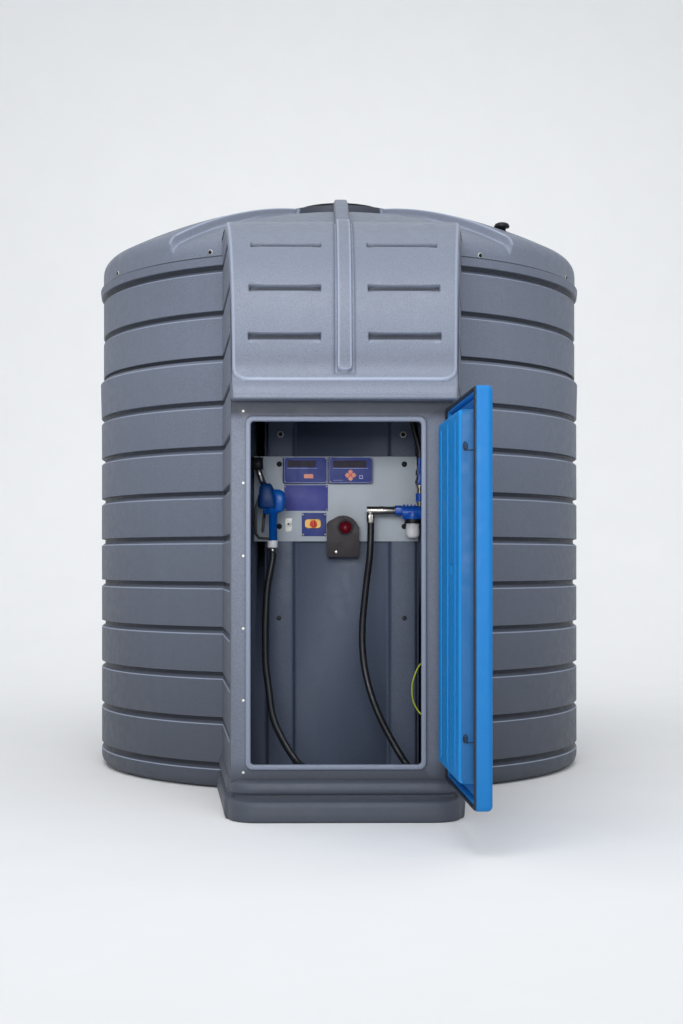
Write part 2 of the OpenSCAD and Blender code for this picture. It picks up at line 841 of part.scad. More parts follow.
// routes of the cords, as points chosen along each one
drop_route = [[106, -975, 999.4], [106, -975, 960], [101, -990, 868], [91, -1012, 795], [81, -1038, 710],
              [73, -1066, 625], [72, -1090, 545], [80, -1108, 465], [99, -1120, 385], [128, -1126, 305],
              [166, -1130, 228], [205, -1140, 160], [235, -1160, 115], [247, -1186, 98]];
rise_route = [[60, -1427, 108], [10, -1427, 108.5], [-40, -1420, 112], [-95, -1396, 121], [-133, -1365, 138],
              [-166, -1330, 160], [-211, -1290, 224], [-249, -1250, 304], [-266, -1210, 407],
              [-277, -1180, 484], [-280, -1150, 565], [-280, -1125, 643], [-275, -1100, 751],
              [-265, -1086, 815], [-256, -1080, 862], [-256, -1080, 887.4]];
supply_route = [[262, -975, 1399.6], [262, -975, 1375], [273, -975, 1325], [286, -975, 1275],
                [288, -975, 1235], [288, -975, 1212.3]];
earth_route = [[300, -1577, 540], [280, -1562, 530], [250, -1547, 505], [231, -1545, 460],
               [226, -1545, 425], [231, -1545, 385], [250, -1547, 350], [280, -1562, 325], [300, -1577, 315]];

function spline(p, t) = let (i = min(floor(t), len(p) - 2), f = t - i,
    a = i > 0 ? p[i - 1] : 2 * p[0] - p[1], b = p[i], c = p[i + 1],
    d = i < len(p) - 2 ? p[i + 2] : 2 * p[i + 1] - p[i])
    0.5 * (2 * b + (c - a) * f + (2 * a - 5 * b + 4 * c - d) * f * f + (3 * b - a - 3 * c + d) * f * f * f);
function unit(v) = v / norm(v);

module tube(route, r, side_dir, steps) {
    n = 8;
    rings = (len(route) - 1) * steps;
    pts = [for (k = [0:rings]) spline(route, k / steps)];
    dirs = [for (k = [0:rings]) unit(pts[min(k + 1, rings)] - pts[max(k - 1, 0)])];
    u = [for (k = [0:rings]) unit(cross(dirs[k], side_dir))];
    v = [for (k = [0:rings]) cross(dirs[k], u[k])];
    polyhedron(
        [for (k = [0:rings], j = [0:n - 1]) pts[k] + r * (cos(360 * j / n) * u[k] + sin(360 * j / n) * v[k])],
        concat([[for (j = [0:n - 1]) j]],
               [for (k = [0:rings - 1], j = [0:n - 1])
                   [k * n + j, (k + 1) * n + j, (k + 1) * n + (j + 1) % n, k * n + (j + 1) % n]],
               [[for (j = [n - 1:-1:0]) rings * n + j]]), 10);
}

module hose_drop() {
    color([0.09, 0.10, 0.11]) tube(drop_route, hose_r, [1, 0, 0], 4);
}

module hose_coil() {
    color([0.09, 0.10, 0.11])
        translate([coil_x, coil_y, floor_h + hose_r])
            rotate_extrude()
                translate([coil_r - coil_half, -hose_r]) square([2 * coil_half, 2 * hose_r]);
}

module hose_rise() {
    color([0.09, 0.10, 0.11]) tube(rise_route, hose_r, [0, 1, 0], 4);
}

module supply_hose() {
    color([0.09, 0.10, 0.11]) tube(supply_route, supply_r, [0, 1, 0], 4);
}

module earth_wire() {
    color([0.55, 0.60, 0.18]) tube(earth_route, 2.5, [0.2, 1, 0.1], 3);
}

wall_front();
wall_side_pair();
wall_rear();
wall_back();
tank_floor();
roof_cover();
roof_ribs();
manway_collar();
manway_lid();
vent_cap();
cabinet_sides();
cabinet_hood();
hood_pad();
cabinet_base();
cabinet_frame();
recess_floor();
recess_ceiling();
recess_sides();
recess_back();
door_skin();
door_liner();
door_seal();
door_latches();
hinge_leaves();
hinge_pins();
door_knuckles();
mounting_panel();
display_cases();
display_screens();
display_keys();
info_plate();
switch_plate();
switch_base();
switch_knob();
key_switch();
alarm_housing();
alarm_lens();
outlet_pipe();
outlet_nut();
filter_head();
filter_bracket();
filter_ring();
filter_bowl();
pipe_fittings();
valve_body();
valve_lever();
nozzle_holder();
nozzle_spout();
nozzle_body();
nozzle_guard();
nozzle_trigger();
hose_swivel();
hose_fitting();
hose_drop();
hose_coil();
hose_rise();
supply_hose();
earth_wire();
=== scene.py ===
"""Finishes, small parts, light and camera for the round storage tank with its dispensing cabinet."""
import math

import bpy
import bmesh
from mathutils import Matrix, Vector, noise


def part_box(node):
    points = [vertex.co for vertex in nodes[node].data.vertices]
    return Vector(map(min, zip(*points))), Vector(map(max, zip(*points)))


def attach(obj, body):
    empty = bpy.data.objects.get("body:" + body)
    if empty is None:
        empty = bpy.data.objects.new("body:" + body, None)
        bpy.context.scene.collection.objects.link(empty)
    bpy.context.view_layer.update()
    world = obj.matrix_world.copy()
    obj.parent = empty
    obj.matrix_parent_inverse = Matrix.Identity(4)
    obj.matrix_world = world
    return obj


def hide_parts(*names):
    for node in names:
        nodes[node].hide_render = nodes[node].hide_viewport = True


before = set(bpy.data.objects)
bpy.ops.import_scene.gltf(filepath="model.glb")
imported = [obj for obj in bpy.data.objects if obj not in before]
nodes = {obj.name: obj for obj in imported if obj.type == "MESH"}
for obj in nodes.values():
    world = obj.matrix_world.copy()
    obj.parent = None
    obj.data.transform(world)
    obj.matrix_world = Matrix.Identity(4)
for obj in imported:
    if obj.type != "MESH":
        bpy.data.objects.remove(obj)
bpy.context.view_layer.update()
MM = 0.001

# Sizes that the scene shares with the frame, in metres
TANK_R = 1.020
SKIRT_R = 1.012
SKIRT_TOP = 2.100
APEX = 2.360
FRONT_Y = -1.592
HINGE = Vector((0.345, -1.610, 0.0))
DOOR_REST = math.radians(92.5)
PANEL_Y = min(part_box("mounting_panel")[0][1], 0.0)
HOSE_R = 0.0125


# Camera: fitted to the photograph

def make_camera():
    data = bpy.data.cameras.new("camera")
    data.lens = 54.42
    data.sensor_width = 36.0
    data.shift_y = 50.0 / 1024.0
    data.clip_end = 60.0
    camera = bpy.data.objects.new("camera", data)
    camera.location = (-0.078, -6.732, 0.853)
    camera.rotation_euler = (math.radians(90.0), 0.0, math.radians(-0.748))
    bpy.context.scene.collection.objects.link(camera)
    bpy.context.scene.camera = camera


# Materials

class Nodes:
    """A short way to build a node tree."""

    def __init__(self, name):
        self.material = bpy.data.materials.new(name)
        self.material.use_nodes = True
        self.tree = self.material.node_tree
        self.shader = self.tree.nodes["Principled BSDF"]
        coords = self.tree.nodes.new("ShaderNodeTexCoord")
        self.point = coords.outputs["Object"]

    def node(self, kind, inputs=None, **settings):
        made = self.tree.nodes.new(kind)
        for key, value in settings.items():
            setattr(made, key, value)
        for key, value in (inputs or {}).items():
            self.feed(made.inputs[key], value)
        return made

    def feed(self, socket, value):
        if isinstance(value, bpy.types.NodeSocket):
            self.tree.links.new(value, socket)
        else:
            socket.default_value = value

    def noise(self, scale, detail=4.0, rough=0.55, stretch=None):
        place = self.point
        if stretch:
            place = self.node("ShaderNodeMapping", {"Vector": self.point, "Scale": stretch}).outputs["Vector"]
        made = self.node("ShaderNodeTexNoise",
                         {"Vector": place, "Scale": scale, "Detail": detail, "Roughness": rough})
        return made.outputs["Fac"]

    def ramp(self, fac, low, high, a, b):
        made = self.node("ShaderNodeMapRange", {"Value": fac, "From Min": low, "From Max": high,
                                                "To Min": a, "To Max": b})
        made.clamp = True
        return made.outputs["Result"]

    def mix(self, fac, a, b):
        made = self.node("ShaderNodeMix", data_type="RGBA")
        self.feed(made.inputs[0], fac)
        self.feed(made.inputs[6], a)
        self.feed(made.inputs[7], b)
        return made.outputs[2]

    def math(self, what, a, b=0.0):
        made = self.node("ShaderNodeMath", operation=what)
        self.feed(made.inputs[0], a)
        self.feed(made.inputs[1], b)
        return made.outputs[0]

    def axis(self, which):
        split = self.node("ShaderNodeSeparateXYZ", {"Vector": self.point})
        return split.outputs[which]

    def bump(self, height, strength, distance, under=None):
        made = self.node("ShaderNodeBump", {"Height": height, "Strength": strength, "Distance": distance})
        if under:
            self.tree.links.new(under, made.inputs["Normal"])
        return made.outputs["Normal"]

    def set(self, **values):
        for key, value in values.items():
            self.feed(self.shader.inputs[key.replace("_", " ")], value)


def rgb(r, g, b):
    """sRGB 0 to 255 as linear colour."""
    def linear(c):
        c = c / 255.0
        return c / 12.92 if c <= 0.04045 else ((c + 0.055) / 1.055) ** 2.4
    return (linear(r), linear(g), linear(b), 1.0)


def shade(colour, k):
    return tuple(c * k for c in colour[:3]) + (1.0,)


def moulded(name, colour, rough=0.48, mottle=0.10, dust=0.25, painted_low_shade=0.0, speckle=0.16, painted_flange_shading=False):
    """Rotomoulded plastic: speckled and cloudy colour, dust that runs down it, painted shade in hollows and painted
    highlights on edges from the mesh's shading values, painted shade towards the ground, and painted shadow and
    highlight on the cabinet's front face.
    """
    n = Nodes(name)
    cloudy = n.mix(n.noise(2.2, 5.0), shade(colour, 1.0 - mottle), shade(colour, 1.0 + mottle))
    streaks = n.ramp(n.noise(1.0, 6.0, 0.6, (14.0, 14.0, 0.9)), 0.50, 0.72, 0.0, dust)
    coat = n.mix(streaks, cloudy, shade(colour, 1.35))
    grain = n.ramp(n.noise(300.0, 2.0, 0.7), 0.36, 0.64, 0.0, 1.0)
    coat = n.mix(n.math("MULTIPLY", grain, speckle), coat, shade(colour, 2.1))
    coat = n.mix(n.math("MULTIPLY", n.math("SUBTRACT", 1.0, grain), speckle * 1.4), coat, shade(colour, 0.35))
    # painted shade: the plastic is darker towards the ground
    if painted_low_shade:
        low = n.ramp(n.axis(2), 0.0, 1.65, painted_low_shade, 0.0)
        coat = n.mix(low, coat, shade(colour, 0.30))
    # painted shadow on the flange under the visor and near its foot, and a painted highlight on the lip in front of
    # the flange
    if painted_flange_shading:
        painted_shadow_on_flange = n.ramp(n.axis(1), FRONT_Y - 0.006, FRONT_Y - 0.001, 0.0, 0.80)
        under = n.math("MAXIMUM", n.ramp(n.axis(2), 1.325, 1.350, 0.0, 1.0), n.ramp(n.axis(2), 0.118, 0.200, 1.0, 0.0))
        coat = n.mix(n.math("MULTIPLY", painted_shadow_on_flange, under), coat, shade(colour, 0.16))
        coat = n.mix(n.ramp(n.axis(1), FRONT_Y - 0.012, FRONT_Y - 0.004, 0.30, 0.0), coat, shade(colour, 2.2))
    # painted shading from the mesh: positive values paint shade in a dark blue-grey, negative values paint a highlight
    # in a lighter copy of the colour
    painted_shading_value = n.node("ShaderNodeAttribute", attribute_name="painted_shading").outputs["Fac"]
    coat = n.mix(n.ramp(painted_shading_value, 0.0, 1.0, 0.0, 0.86), coat, rgb(20, 24, 34))
    coat = n.mix(n.ramp(painted_shading_value, -1.0, 0.0, 0.8, 0.0), coat, shade(colour, 2.6))
    fine = n.noise(420.0, 2.0)
    wave = n.noise(7.0, 3.0)
    n.set(Base_Color=coat, Roughness=n.ramp(n.noise(30.0, 3.0), 0.3, 0.7, rough - 0.06, rough + 0.08),
          Normal=n.bump(fine, 0.10, 0.0006, n.bump(wave, 0.25, 0.006)), Specular_IOR_Level=0.32)
    return n.material


def smooth_plastic(name, colour, rough=0.35, grain=260.0, strength=0.06):
    n = Nodes(name)
    tone = n.mix(n.noise(9.0, 4.0), shade(colour, 0.92), shade(colour, 1.08))
    n.set(Base_Color=tone, Roughness=n.ramp(n.noise(55.0, 3.0), 0.3, 0.7, rough - 0.05, rough + 0.07),
          Normal=n.bump(n.noise(grain, 2.0), strength, 0.0004), Specular_IOR_Level=0.28)
    return n.material


def metal(name, colour, rough=0.32, stretch=(1.0, 1.0, 30.0), metallic=1.0):
    n = Nodes(name)
    brushed = n.noise(60.0, 3.0, 0.6, stretch)
    n.set(Base_Color=n.mix(brushed, shade(colour, 0.86), shade(colour, 1.1)), Metallic=metallic,
          Roughness=n.ramp(brushed, 0.3, 0.7, rough - 0.08, rough + 0.12),
          Normal=n.bump(brushed, 0.08, 0.0004))
    return n.material


def rubber(name, colour, rough=0.55):
    n = Nodes(name)
    n.set(Base_Color=n.mix(n.noise(40.0, 5.0), shade(colour, 0.8), shade(colour, 1.5)),
          Roughness=n.ramp(n.noise(80.0, 3.0), 0.3, 0.7, rough - 0.1, rough + 0.1),
          Normal=n.bump(n.noise(900.0, 2.0), 0.12, 0.0003))
    return n.material


def make_materials():
    return {
        "grey": moulded("grey_plastic", rgb(107, 114, 129), 0.50, 0.07, 0.22, 0.85),
        # the frame and hood are the grey plastic made a little lighter, painted light for faces that turn to the front
        # and up
        "frame": moulded("frame_plastic", rgb(112, 119, 134), 0.46, 0.05, 0.15, 0.45, painted_flange_shading=True),
        "roof": moulded("roof_plastic", rgb(114, 121, 136), 0.46, 0.06, 0.18),
        "hood": moulded("hood_plastic", rgb(116, 123, 138), 0.42, 0.05, 0.15),
        "recess": moulded("recess_plastic", rgb(88, 98, 118), 0.5, 0.20, 0.12),
        "black": smooth_plastic("black_plastic", rgb(26, 27, 30), 0.42),
        "door": moulded("door_blue", rgb(0, 112, 182), 0.52, 0.05, 0.02, 0.12, 0.04),
        "liner": moulded("liner_blue", rgb(2, 132, 208), 0.50, 0.06, 0.03, 0.12, 0.04),
        "seal": rubber("seal_rubber", rgb(16, 22, 34)),
        "dark": metal("dark_metal", rgb(48, 50, 54), 0.45, metallic=0.6),
        "steel": metal("steel", rgb(176, 173, 168), 0.30),
        "panel": smooth_plastic("panel_grey", rgb(186, 195, 204), 0.42, 500.0, 0.03),
        "display": smooth_plastic("display_blue", rgb(42, 58, 134), 0.48),
        "window": smooth_plastic("display_window", rgb(40, 33, 50), 0.55, 700.0, 0.01),
        "line": smooth_plastic("display_line", rgb(158, 166, 205), 0.40),
        "salmon": smooth_plastic("key_salmon", rgb(228, 138, 110), 0.38),
        "violet": smooth_plastic("plate_violet", rgb(70, 76, 156), 0.48),
        "plate": smooth_plastic("plate_blue", rgb(48, 64, 140), 0.48),
        "alarm": smooth_plastic("alarm_brown", rgb(48, 43, 47), 0.50, 300.0, 0.10),
        "yellow": smooth_plastic("yellow_plastic", rgb(243, 186, 64), 0.32),
        "red": smooth_plastic("red_plastic", rgb(222, 62, 26), 0.28),
        "zinc": metal("key_grey", rgb(196, 196, 192), 0.38, metallic=0.3),
        "brass": metal("fitting_brass", rgb(150, 142, 122), 0.34),
        "lens": smooth_plastic("lens_red", rgb(104, 18, 32), 0.30, 900.0, 0.01),
        "fitting": smooth_plastic("fitting_blue", rgb(24, 84, 182), 0.30),
        "white": smooth_plastic("white_plastic", rgb(228, 229, 232), 0.34),
        "nozzle": smooth_plastic("nozzle_blue", rgb(8, 88, 176), 0.30),
        # the boot's darker blue is partly painted shade on the left of the nozzle's head
        "boot_with_painted_shade": smooth_plastic("boot_blue_with_painted_shade", rgb(5, 56, 116), 0.42),
        "hose": rubber("hose_rubber", rgb(24, 26, 30), 0.42),
        "wire": smooth_plastic("wire_green", rgb(142, 152, 40), 0.40),
    }


FINISH = {
    "grey": ["tank_floor"],
    "frame": ["cabinet_frame"],
    "recess": ["recess_floor", "recess_ceiling", "recess_sides", "recess_back"],
    "black": ["manway_collar", "manway_lid", "vent_cap", "filter_ring", "nozzle_holder",
              "nozzle_guard", "nozzle_trigger"],
    "dark": ["hinge_leaves", "door_knuckles", "filter_bracket"],
    "steel": ["hinge_pins", "outlet_pipe", "hose_fitting", "nozzle_spout", "valve_body"],
    "panel": ["mounting_panel"],
    "display": ["display_cases"],
    "violet": ["info_plate"],
    "plate": ["switch_plate"],
    "alarm": ["alarm_housing"],
    "red": ["switch_knob"],
    "zinc": ["key_switch"],
    "lens": ["alarm_lens"],
    "fitting": ["outlet_nut", "filter_head", "valve_lever"],
    "brass": ["pipe_fittings"],
    "white": ["filter_bowl", "hose_swivel"],
    "nozzle": ["nozzle_body"],
    "hose": ["supply_hose"],
    "wire": ["earth_wire"],
}

BEVEL = {
    "cabinet_frame": 0.005, "recess_back": 0.008, "display_cases": 0.004, "display_screens": 0.0006, "display_keys": 0.001,
    "alarm_housing": 0.004, "switch_knob": 0.0015, "switch_base": 0.003, "outlet_nut": 0.0015,
    "outlet_pipe": 0.0015, "pipe_fittings": 0.0015, "filter_head": 0.003, "valve_lever": 0.0015,
    "valve_body": 0.0015, "nozzle_guard": 0.002, "nozzle_trigger": 0.002, "hose_swivel": 0.002,
    "mounting_panel": 0.0015, "info_plate": 0.0008, "switch_plate": 0.0012, "key_switch": 0.0015,
    "manway_lid": 0.004, "manway_collar": 0.003, "filter_ring": 0.002,
}


def finish_nodes(materials):
    """Every CAD node that stays gets its material, softened edges and smooth faces."""
    for key, names in FINISH.items():
        for name in names:
            obj = nodes[name]
            obj.data.materials.clear()
            obj.data.materials.append(materials[key])
            obj.data.polygons.foreach_set("use_smooth", [True] * len(obj.data.polygons))
            weld = obj.modifiers.new("weld", "WELD")
            weld.merge_threshold = 0.00002
            if name in BEVEL:
                soft = obj.modifiers.new("edges", "BEVEL")
                soft.width = BEVEL[name]
                soft.segments = 3
                soft.limit_method = "ANGLE"
                soft.angle_limit = math.radians(35.0)
                soft.harden_normals = True


# Small builders of meshes

def smooth(t):
    t = max(0.0, min(1.0, t))
    return t * t * (3.0 - 2.0 * t)


def to_object(name, mesh, body, material, node=None, smooth=True):
    obj = bpy.data.objects.new(name, mesh)
    bpy.context.scene.collection.objects.link(obj)
    mesh.materials.append(material)
    if smooth:
        mesh.shade_smooth()
    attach(obj, body)
    if node:
        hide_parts(*node)
    return obj


def from_grid(name, rows, close_rows=False, painted_shading=None):
    """A mesh from rows of points; close_rows joins each row's end to its start, and the shading values put painted
    shade (positive) or painted highlight (negative) on its points.
    """
    mesh = bpy.data.meshes.new(name)
    wide = len(rows[0])
    faces = []
    for i in range(len(rows) - 1):
        for j in range(wide if close_rows else wide - 1):
            k = (j + 1) % wide
            faces.append((i * wide + j, i * wide + k, (i + 1) * wide + k, (i + 1) * wide + j))
    mesh.from_pydata([p for row in rows for p in row], [], faces)
    if painted_shading:
        mesh.attributes.new("painted_shading", "FLOAT", "POINT").data.foreach_set("value", painted_shading)
    mesh.update()
    return mesh


# Tank wall with rounded grooves

GROOVE_Z = [0.0865 + 0.170 * i for i in range(12)]
SIDE_ANGLE = math.atan2(0.449, 0.9158)


def groove_shape(z):
    """Depth of the grooves at height z, as 0 to 1, and their painted shading: painted shade in the overhung top of the
    groove up to 1, painted highlight on its lower ledge down to -0.75.
    """
    for centre in GROOVE_Z:
        d = z - centre
        if -0.0165 < d < 0.0135:
            depth = smooth((d + 0.0165) / 0.0145) if d < 0.0105 else (0.0135 - d) / 0.0030
            if d < -0.0115:
                return depth, -0.75 * smooth((d + 0.0170) / 0.0015) * smooth((-0.0115 - d) / 0.0015)
            return depth, smooth((d + 0.0050) / 0.005) * min(1.0, (0.0135 - d) / 0.0025)
    return 0.0, 0.0


def groove_rows(centre):
    return [centre + d for d in (-0.0180, -0.0165, -0.0150, -0.0130, -0.0115, -0.009, -0.006, -0.003, -0.001, 0.001, 0.004,
                                 0.008, 0.0105, 0.0115, 0.0125, 0.0135, 0.0145)]


def band_step(z):
    """How far a band stands off the nominal radius at height z."""
    if GROOVE_Z[9] < z < GROOVE_Z[11]:
        return -0.009
    if GROOVE_Z[8] < z < GROOVE_Z[9]:
        return 0.004 * (z - GROOVE_Z[8]) / 0.170
    return 0.0


def wall_heights():
    zs = [0.046 * (1.0 - math.cos(math.radians(a))) for a in range(0, 91, 15)]
    for centre in GROOVE_Z:
        zs += groove_rows(centre)
        zs += [centre + d for d in (0.045, 0.085, 0.125) if centre + d < 1.985]
    return sorted(zs + [1.990, 2.000])


def tank_wall(materials):
    """The banded wall, which runs a little way into the cabinet's sides at both ends."""
    start = SIDE_ANGLE - math.radians(1.4)
    stop = 2.0 * math.pi - start
    count = 300
    rows, painted_shading = [], []
    for z in wall_heights():
        depth, dark = groove_shape(z)
        row = []
        for k in range(count + 1):
            a = start + (stop - start) * k / count
            r = TANK_R + band_step(z) - 0.015 * depth
            if z < 0.046:
                r = 0.974 + math.sqrt(max(0.0, 0.046 ** 2 - (0.046 - z) ** 2))
            if z > 1.988:
                r = TANK_R + 0.003
            spot = Vector((r * math.sin(a), -r * math.cos(a), z))
            r += 0.0012 * noise.noise(spot * 2.6)
            row.append((r * math.sin(a), -r * math.cos(a), z))
            # painted shade in the groove's overhung top, painted highlight on its lower ledge
            painted_shading.append(dark)
        rows.append(row)
    mesh = from_grid("tank_wall", rows, painted_shading=painted_shading)
    to_object("tank_wall", mesh, "tank", materials["grey"],
              ["wall_front", "wall_side_pair", "wall_rear", "wall_back"])


# Cords: the points repeat the routes of the solids, in millimetres

DROP = [(106, -975, 999.4), (106, -975, 960), (101, -990, 868), (91, -1012, 795), (81, -1038, 710),
        (73, -1066, 625), (72, -1090, 545), (80, -1108, 465), (99, -1120, 385), (128, -1126, 305),
        (166, -1130, 228), (205, -1140, 160), (235, -1160, 115), (247, -1186, 98)]
RISE = [(60, -1427, 108), (10, -1427, 108.5), (-40, -1420, 112), (-95, -1396, 121), (-133, -1365, 138),
        (-166, -1330, 160), (-211, -1290, 224), (-249, -1250, 304), (-266, -1210, 407), (-277, -1180, 484),
        (-280, -1150, 565), (-280, -1125, 643), (-275, -1100, 751), (-265, -1086, 815),
        (-256, -1080, 862), (-256, -1080, 887.4)]
SUPPLY = [(262, -975, 1399.6), (262, -975, 1375), (273, -975, 1325), (286, -975, 1275), (288, -975, 1235),
          (288, -975, 1212.3)]
EARTH = [(300, -1577, 540), (280, -1562, 530), (250, -1547, 505), (231, -1545, 460), (226, -1545, 425),
         (231, -1545, 385), (250, -1547, 350), (280, -1562, 325), (300, -1577, 315)]
COIL_CENTRE = (85.0, -1310.0)


def coil_points():
    """Two turns that wind inwards on the cabinet floor, then climb on to the turns' top."""
    points = []
    steps = 48
    for k in range(1, 49):
        a = math.radians(15.0 - 360.0 * k * 2.22 / steps)
        r = 177.0 - 27.0 * min(2.22 * k / steps, 2.15)
        climb = max(0.0, min(1.0, (2.22 * k / steps - 1.55) / 0.6))
        z = 82.7 + 25.5 * climb * climb * (3.0 - 2.0 * climb)
        points.append((COIL_CENTRE[0] + r * math.cos(a), COIL_CENTRE[1] + r * math.sin(a), z))
    return points


def spline_points(points, per=6):
    """Points along a smooth curve through the given ones."""
    p = [Vector(v) * MM for v in points]
    p = [2 * p[0] - p[1]] + p + [2 * p[-1] - p[-2]]
    out = []
    for i in range(1, len(p) - 2):
        a, b, c, d = p[i - 1], p[i], p[i + 1], p[i + 2]
        for k in range(per):
            t = k / per
            out.append(0.5 * (2 * b + (c - a) * t + (2 * a - 5 * b + 4 * c - d) * t * t
                              + (3 * b - a - 3 * c + d) * t ** 3))
    out.append(p[-2])
    return out


def tube(name, path, radius, body, material, node, sides=14):
    """A round tube along a path, with frames carried from ring to ring."""
    rows = []
    across = None
    for i, p in enumerate(path):
        along = (path[min(i + 1, len(path) - 1)] - path[max(i - 1, 0)]).normalized()
        if across is None:
            across = along.orthogonal().normalized()
        across = (across - along * across.dot(along)).normalized()
        other = along.cross(across)
        rows.append([tuple(p + radius * (math.cos(2 * math.pi * j / sides) * across
                                         + math.sin(2 * math.pi * j / sides) * other))
                     for j in range(sides)])
    return to_object(name, from_grid(name, rows, True), body, material, node)


def cords(materials):
    delivery = spline_points(DROP[:-1] + coil_points() + RISE[2:], 5)
    hose = tube("delivery_hose", delivery, HOSE_R, "tank", materials["hose"],
                ["hose_drop", "hose_coil", "hose_rise"])
    supply = spline_points(SUPPLY)
    pipe = tube("ceiling_hose", supply, 0.011, "tank", materials["hose"], ["supply_hose"])
    earth = spline_points(EARTH)
    wire = tube("bonding_wire", earth, 0.0025, "tank", materials["wire"], ["earth_wire"])


# Shaped moulding: heights drawn over a profile or a plan

def rounded(d, r):
    """Height from 0 to 1 of a rounded shoulder, at distance d inside its edge."""
    t = max(0.0, min(1.0, d / r))
    return math.sqrt(1.0 - (1.0 - t) ** 2)


def inside_box(x, y, half_x, half_y, r):
    """Distance inside a box with rounded corners, negative outside it."""
    dx = abs(x) - half_x + r
    dy = abs(y) - half_y + r
    return r - math.hypot(max(dx, 0.0), max(dy, 0.0)) - min(max(dx, dy), 0.0)


def spread_values(marks, low, high, step):
    """Evenly spaced values with extra ones at the marks, none closer than half a millimetre."""
    count = max(1, round((high - low) / step))
    values = sorted([low + (high - low) * i / count for i in range(count + 1)]
                    + [m for m in marks if low < m < high])
    kept = [values[0]]
    for v in values[1:]:
        if v - kept[-1] > 0.0005:
            kept.append(v)
    return kept


def half_width(y):
    """Half the cabinet's width at distance y, which grows towards the tank."""
    return 0.378 + 0.105 * (y - FRONT_Y)


# Hood: the CAD's side view with its pad, rib, slots and soft edges

VISOR_Z = 1.387
HOOD_CY = -0.991
HOOD_CZ = 1.480
HOOD_R = 0.604
PAD_Z = 1.445
SLOT_Z = [1.602, 1.774, 1.946]
SLOT_X = 0.200
SLOT_HALF = (0.120, 0.010)


def hood_profile():
    """The hood's side view as (y, z): underside, lip, hollow and the large arc to the top."""
    pts = [(FRONT_Y, VISOR_Z + 0.012), (FRONT_Y, VISOR_Z), (-1.625, VISOR_Z), (-1.652, VISOR_Z),
           (-1.6585, VISOR_Z + 0.003), (-1.660, VISOR_Z + 0.009), (-1.658, VISOR_Z + 0.021),
           (-1.645, VISOR_Z + 0.045), (-1.625, VISOR_Z + 0.065), (-1.609, VISOR_Z + 0.091),
           (-1.597, VISOR_Z + 0.125)]
    for k in range(29):
        a = math.radians(172.0 - 82.0 * k / 28)
        pts.append((HOOD_CY + HOOD_R * math.cos(a), HOOD_CZ + HOOD_R * math.sin(a)))
    pts += [(-0.930, HOOD_CZ + HOOD_R), (-0.885, HOOD_CZ + HOOD_R), (-0.862, HOOD_CZ + HOOD_R - 0.030)]
    return pts


class Profile:
    """A line in the side view with lengths, so that rows can be set at any height on it."""

    def __init__(self, pts):
        fine = []
        ends = [(2 * pts[0][0] - pts[1][0], 2 * pts[0][1] - pts[1][1])]
        ends += pts + [(2 * pts[-1][0] - pts[-2][0], 2 * pts[-1][1] - pts[-2][1])]
        for i in range(1, len(ends) - 2):
            a, b, c, d = ends[i - 1:i + 3]
            for k in range(6):
                t = k / 6
                fine.append(tuple(0.5 * (2 * b[m] + (c[m] - a[m]) * t
                                         + (2 * a[m] - 5 * b[m] + 4 * c[m] - d[m]) * t * t
                                         + (3 * b[m] - a[m] - 3 * c[m] + d[m]) * t ** 3) for m in (0, 1)))
        fine.append(pts[-1])
        self.pts = fine
        self.s = [0.0]
        for a, b in zip(fine, fine[1:]):
            self.s.append(self.s[-1] + math.dist(a, b))

    def at(self, s):
        """Point and outward normal at length s."""
        i = 1
        while i < len(self.s) - 1 and self.s[i] < s:
            i += 1
        a, b = self.pts[i - 1], self.pts[i]
        t = (s - self.s[i - 1]) / max(1e-9, self.s[i] - self.s[i - 1])
        p = (a[0] + (b[0] - a[0]) * t, a[1] + (b[1] - a[1]) * t)
        lo, hi = self.pts[max(i - 2, 0)], self.pts[min(i + 1, len(self.pts) - 1)]
        dy, dz = hi[0] - lo[0], hi[1] - lo[1]
        size = math.hypot(dy, dz)
        return p, (-dz / size, dy / size)

    def length_at_z(self, z, after=0.0):
        for i in range(1, len(self.s)):
            if self.s[i] > after and self.pts[i - 1][1] <= z < self.pts[i][1]:
                t = (z - self.pts[i - 1][1]) / (self.pts[i][1] - self.pts[i - 1][1])
                return self.s[i - 1] + t * (self.s[i] - self.s[i - 1])
        return self.s[-1]

    def length_at_face(self, z, after, lift):
        """Length at which a face that stands lift off the line has height z."""
        s = self.length_at_z(z, after)
        for _ in range(5):
            s = self.length_at_z(z - lift * self.at(s)[1][1], after)
        return s


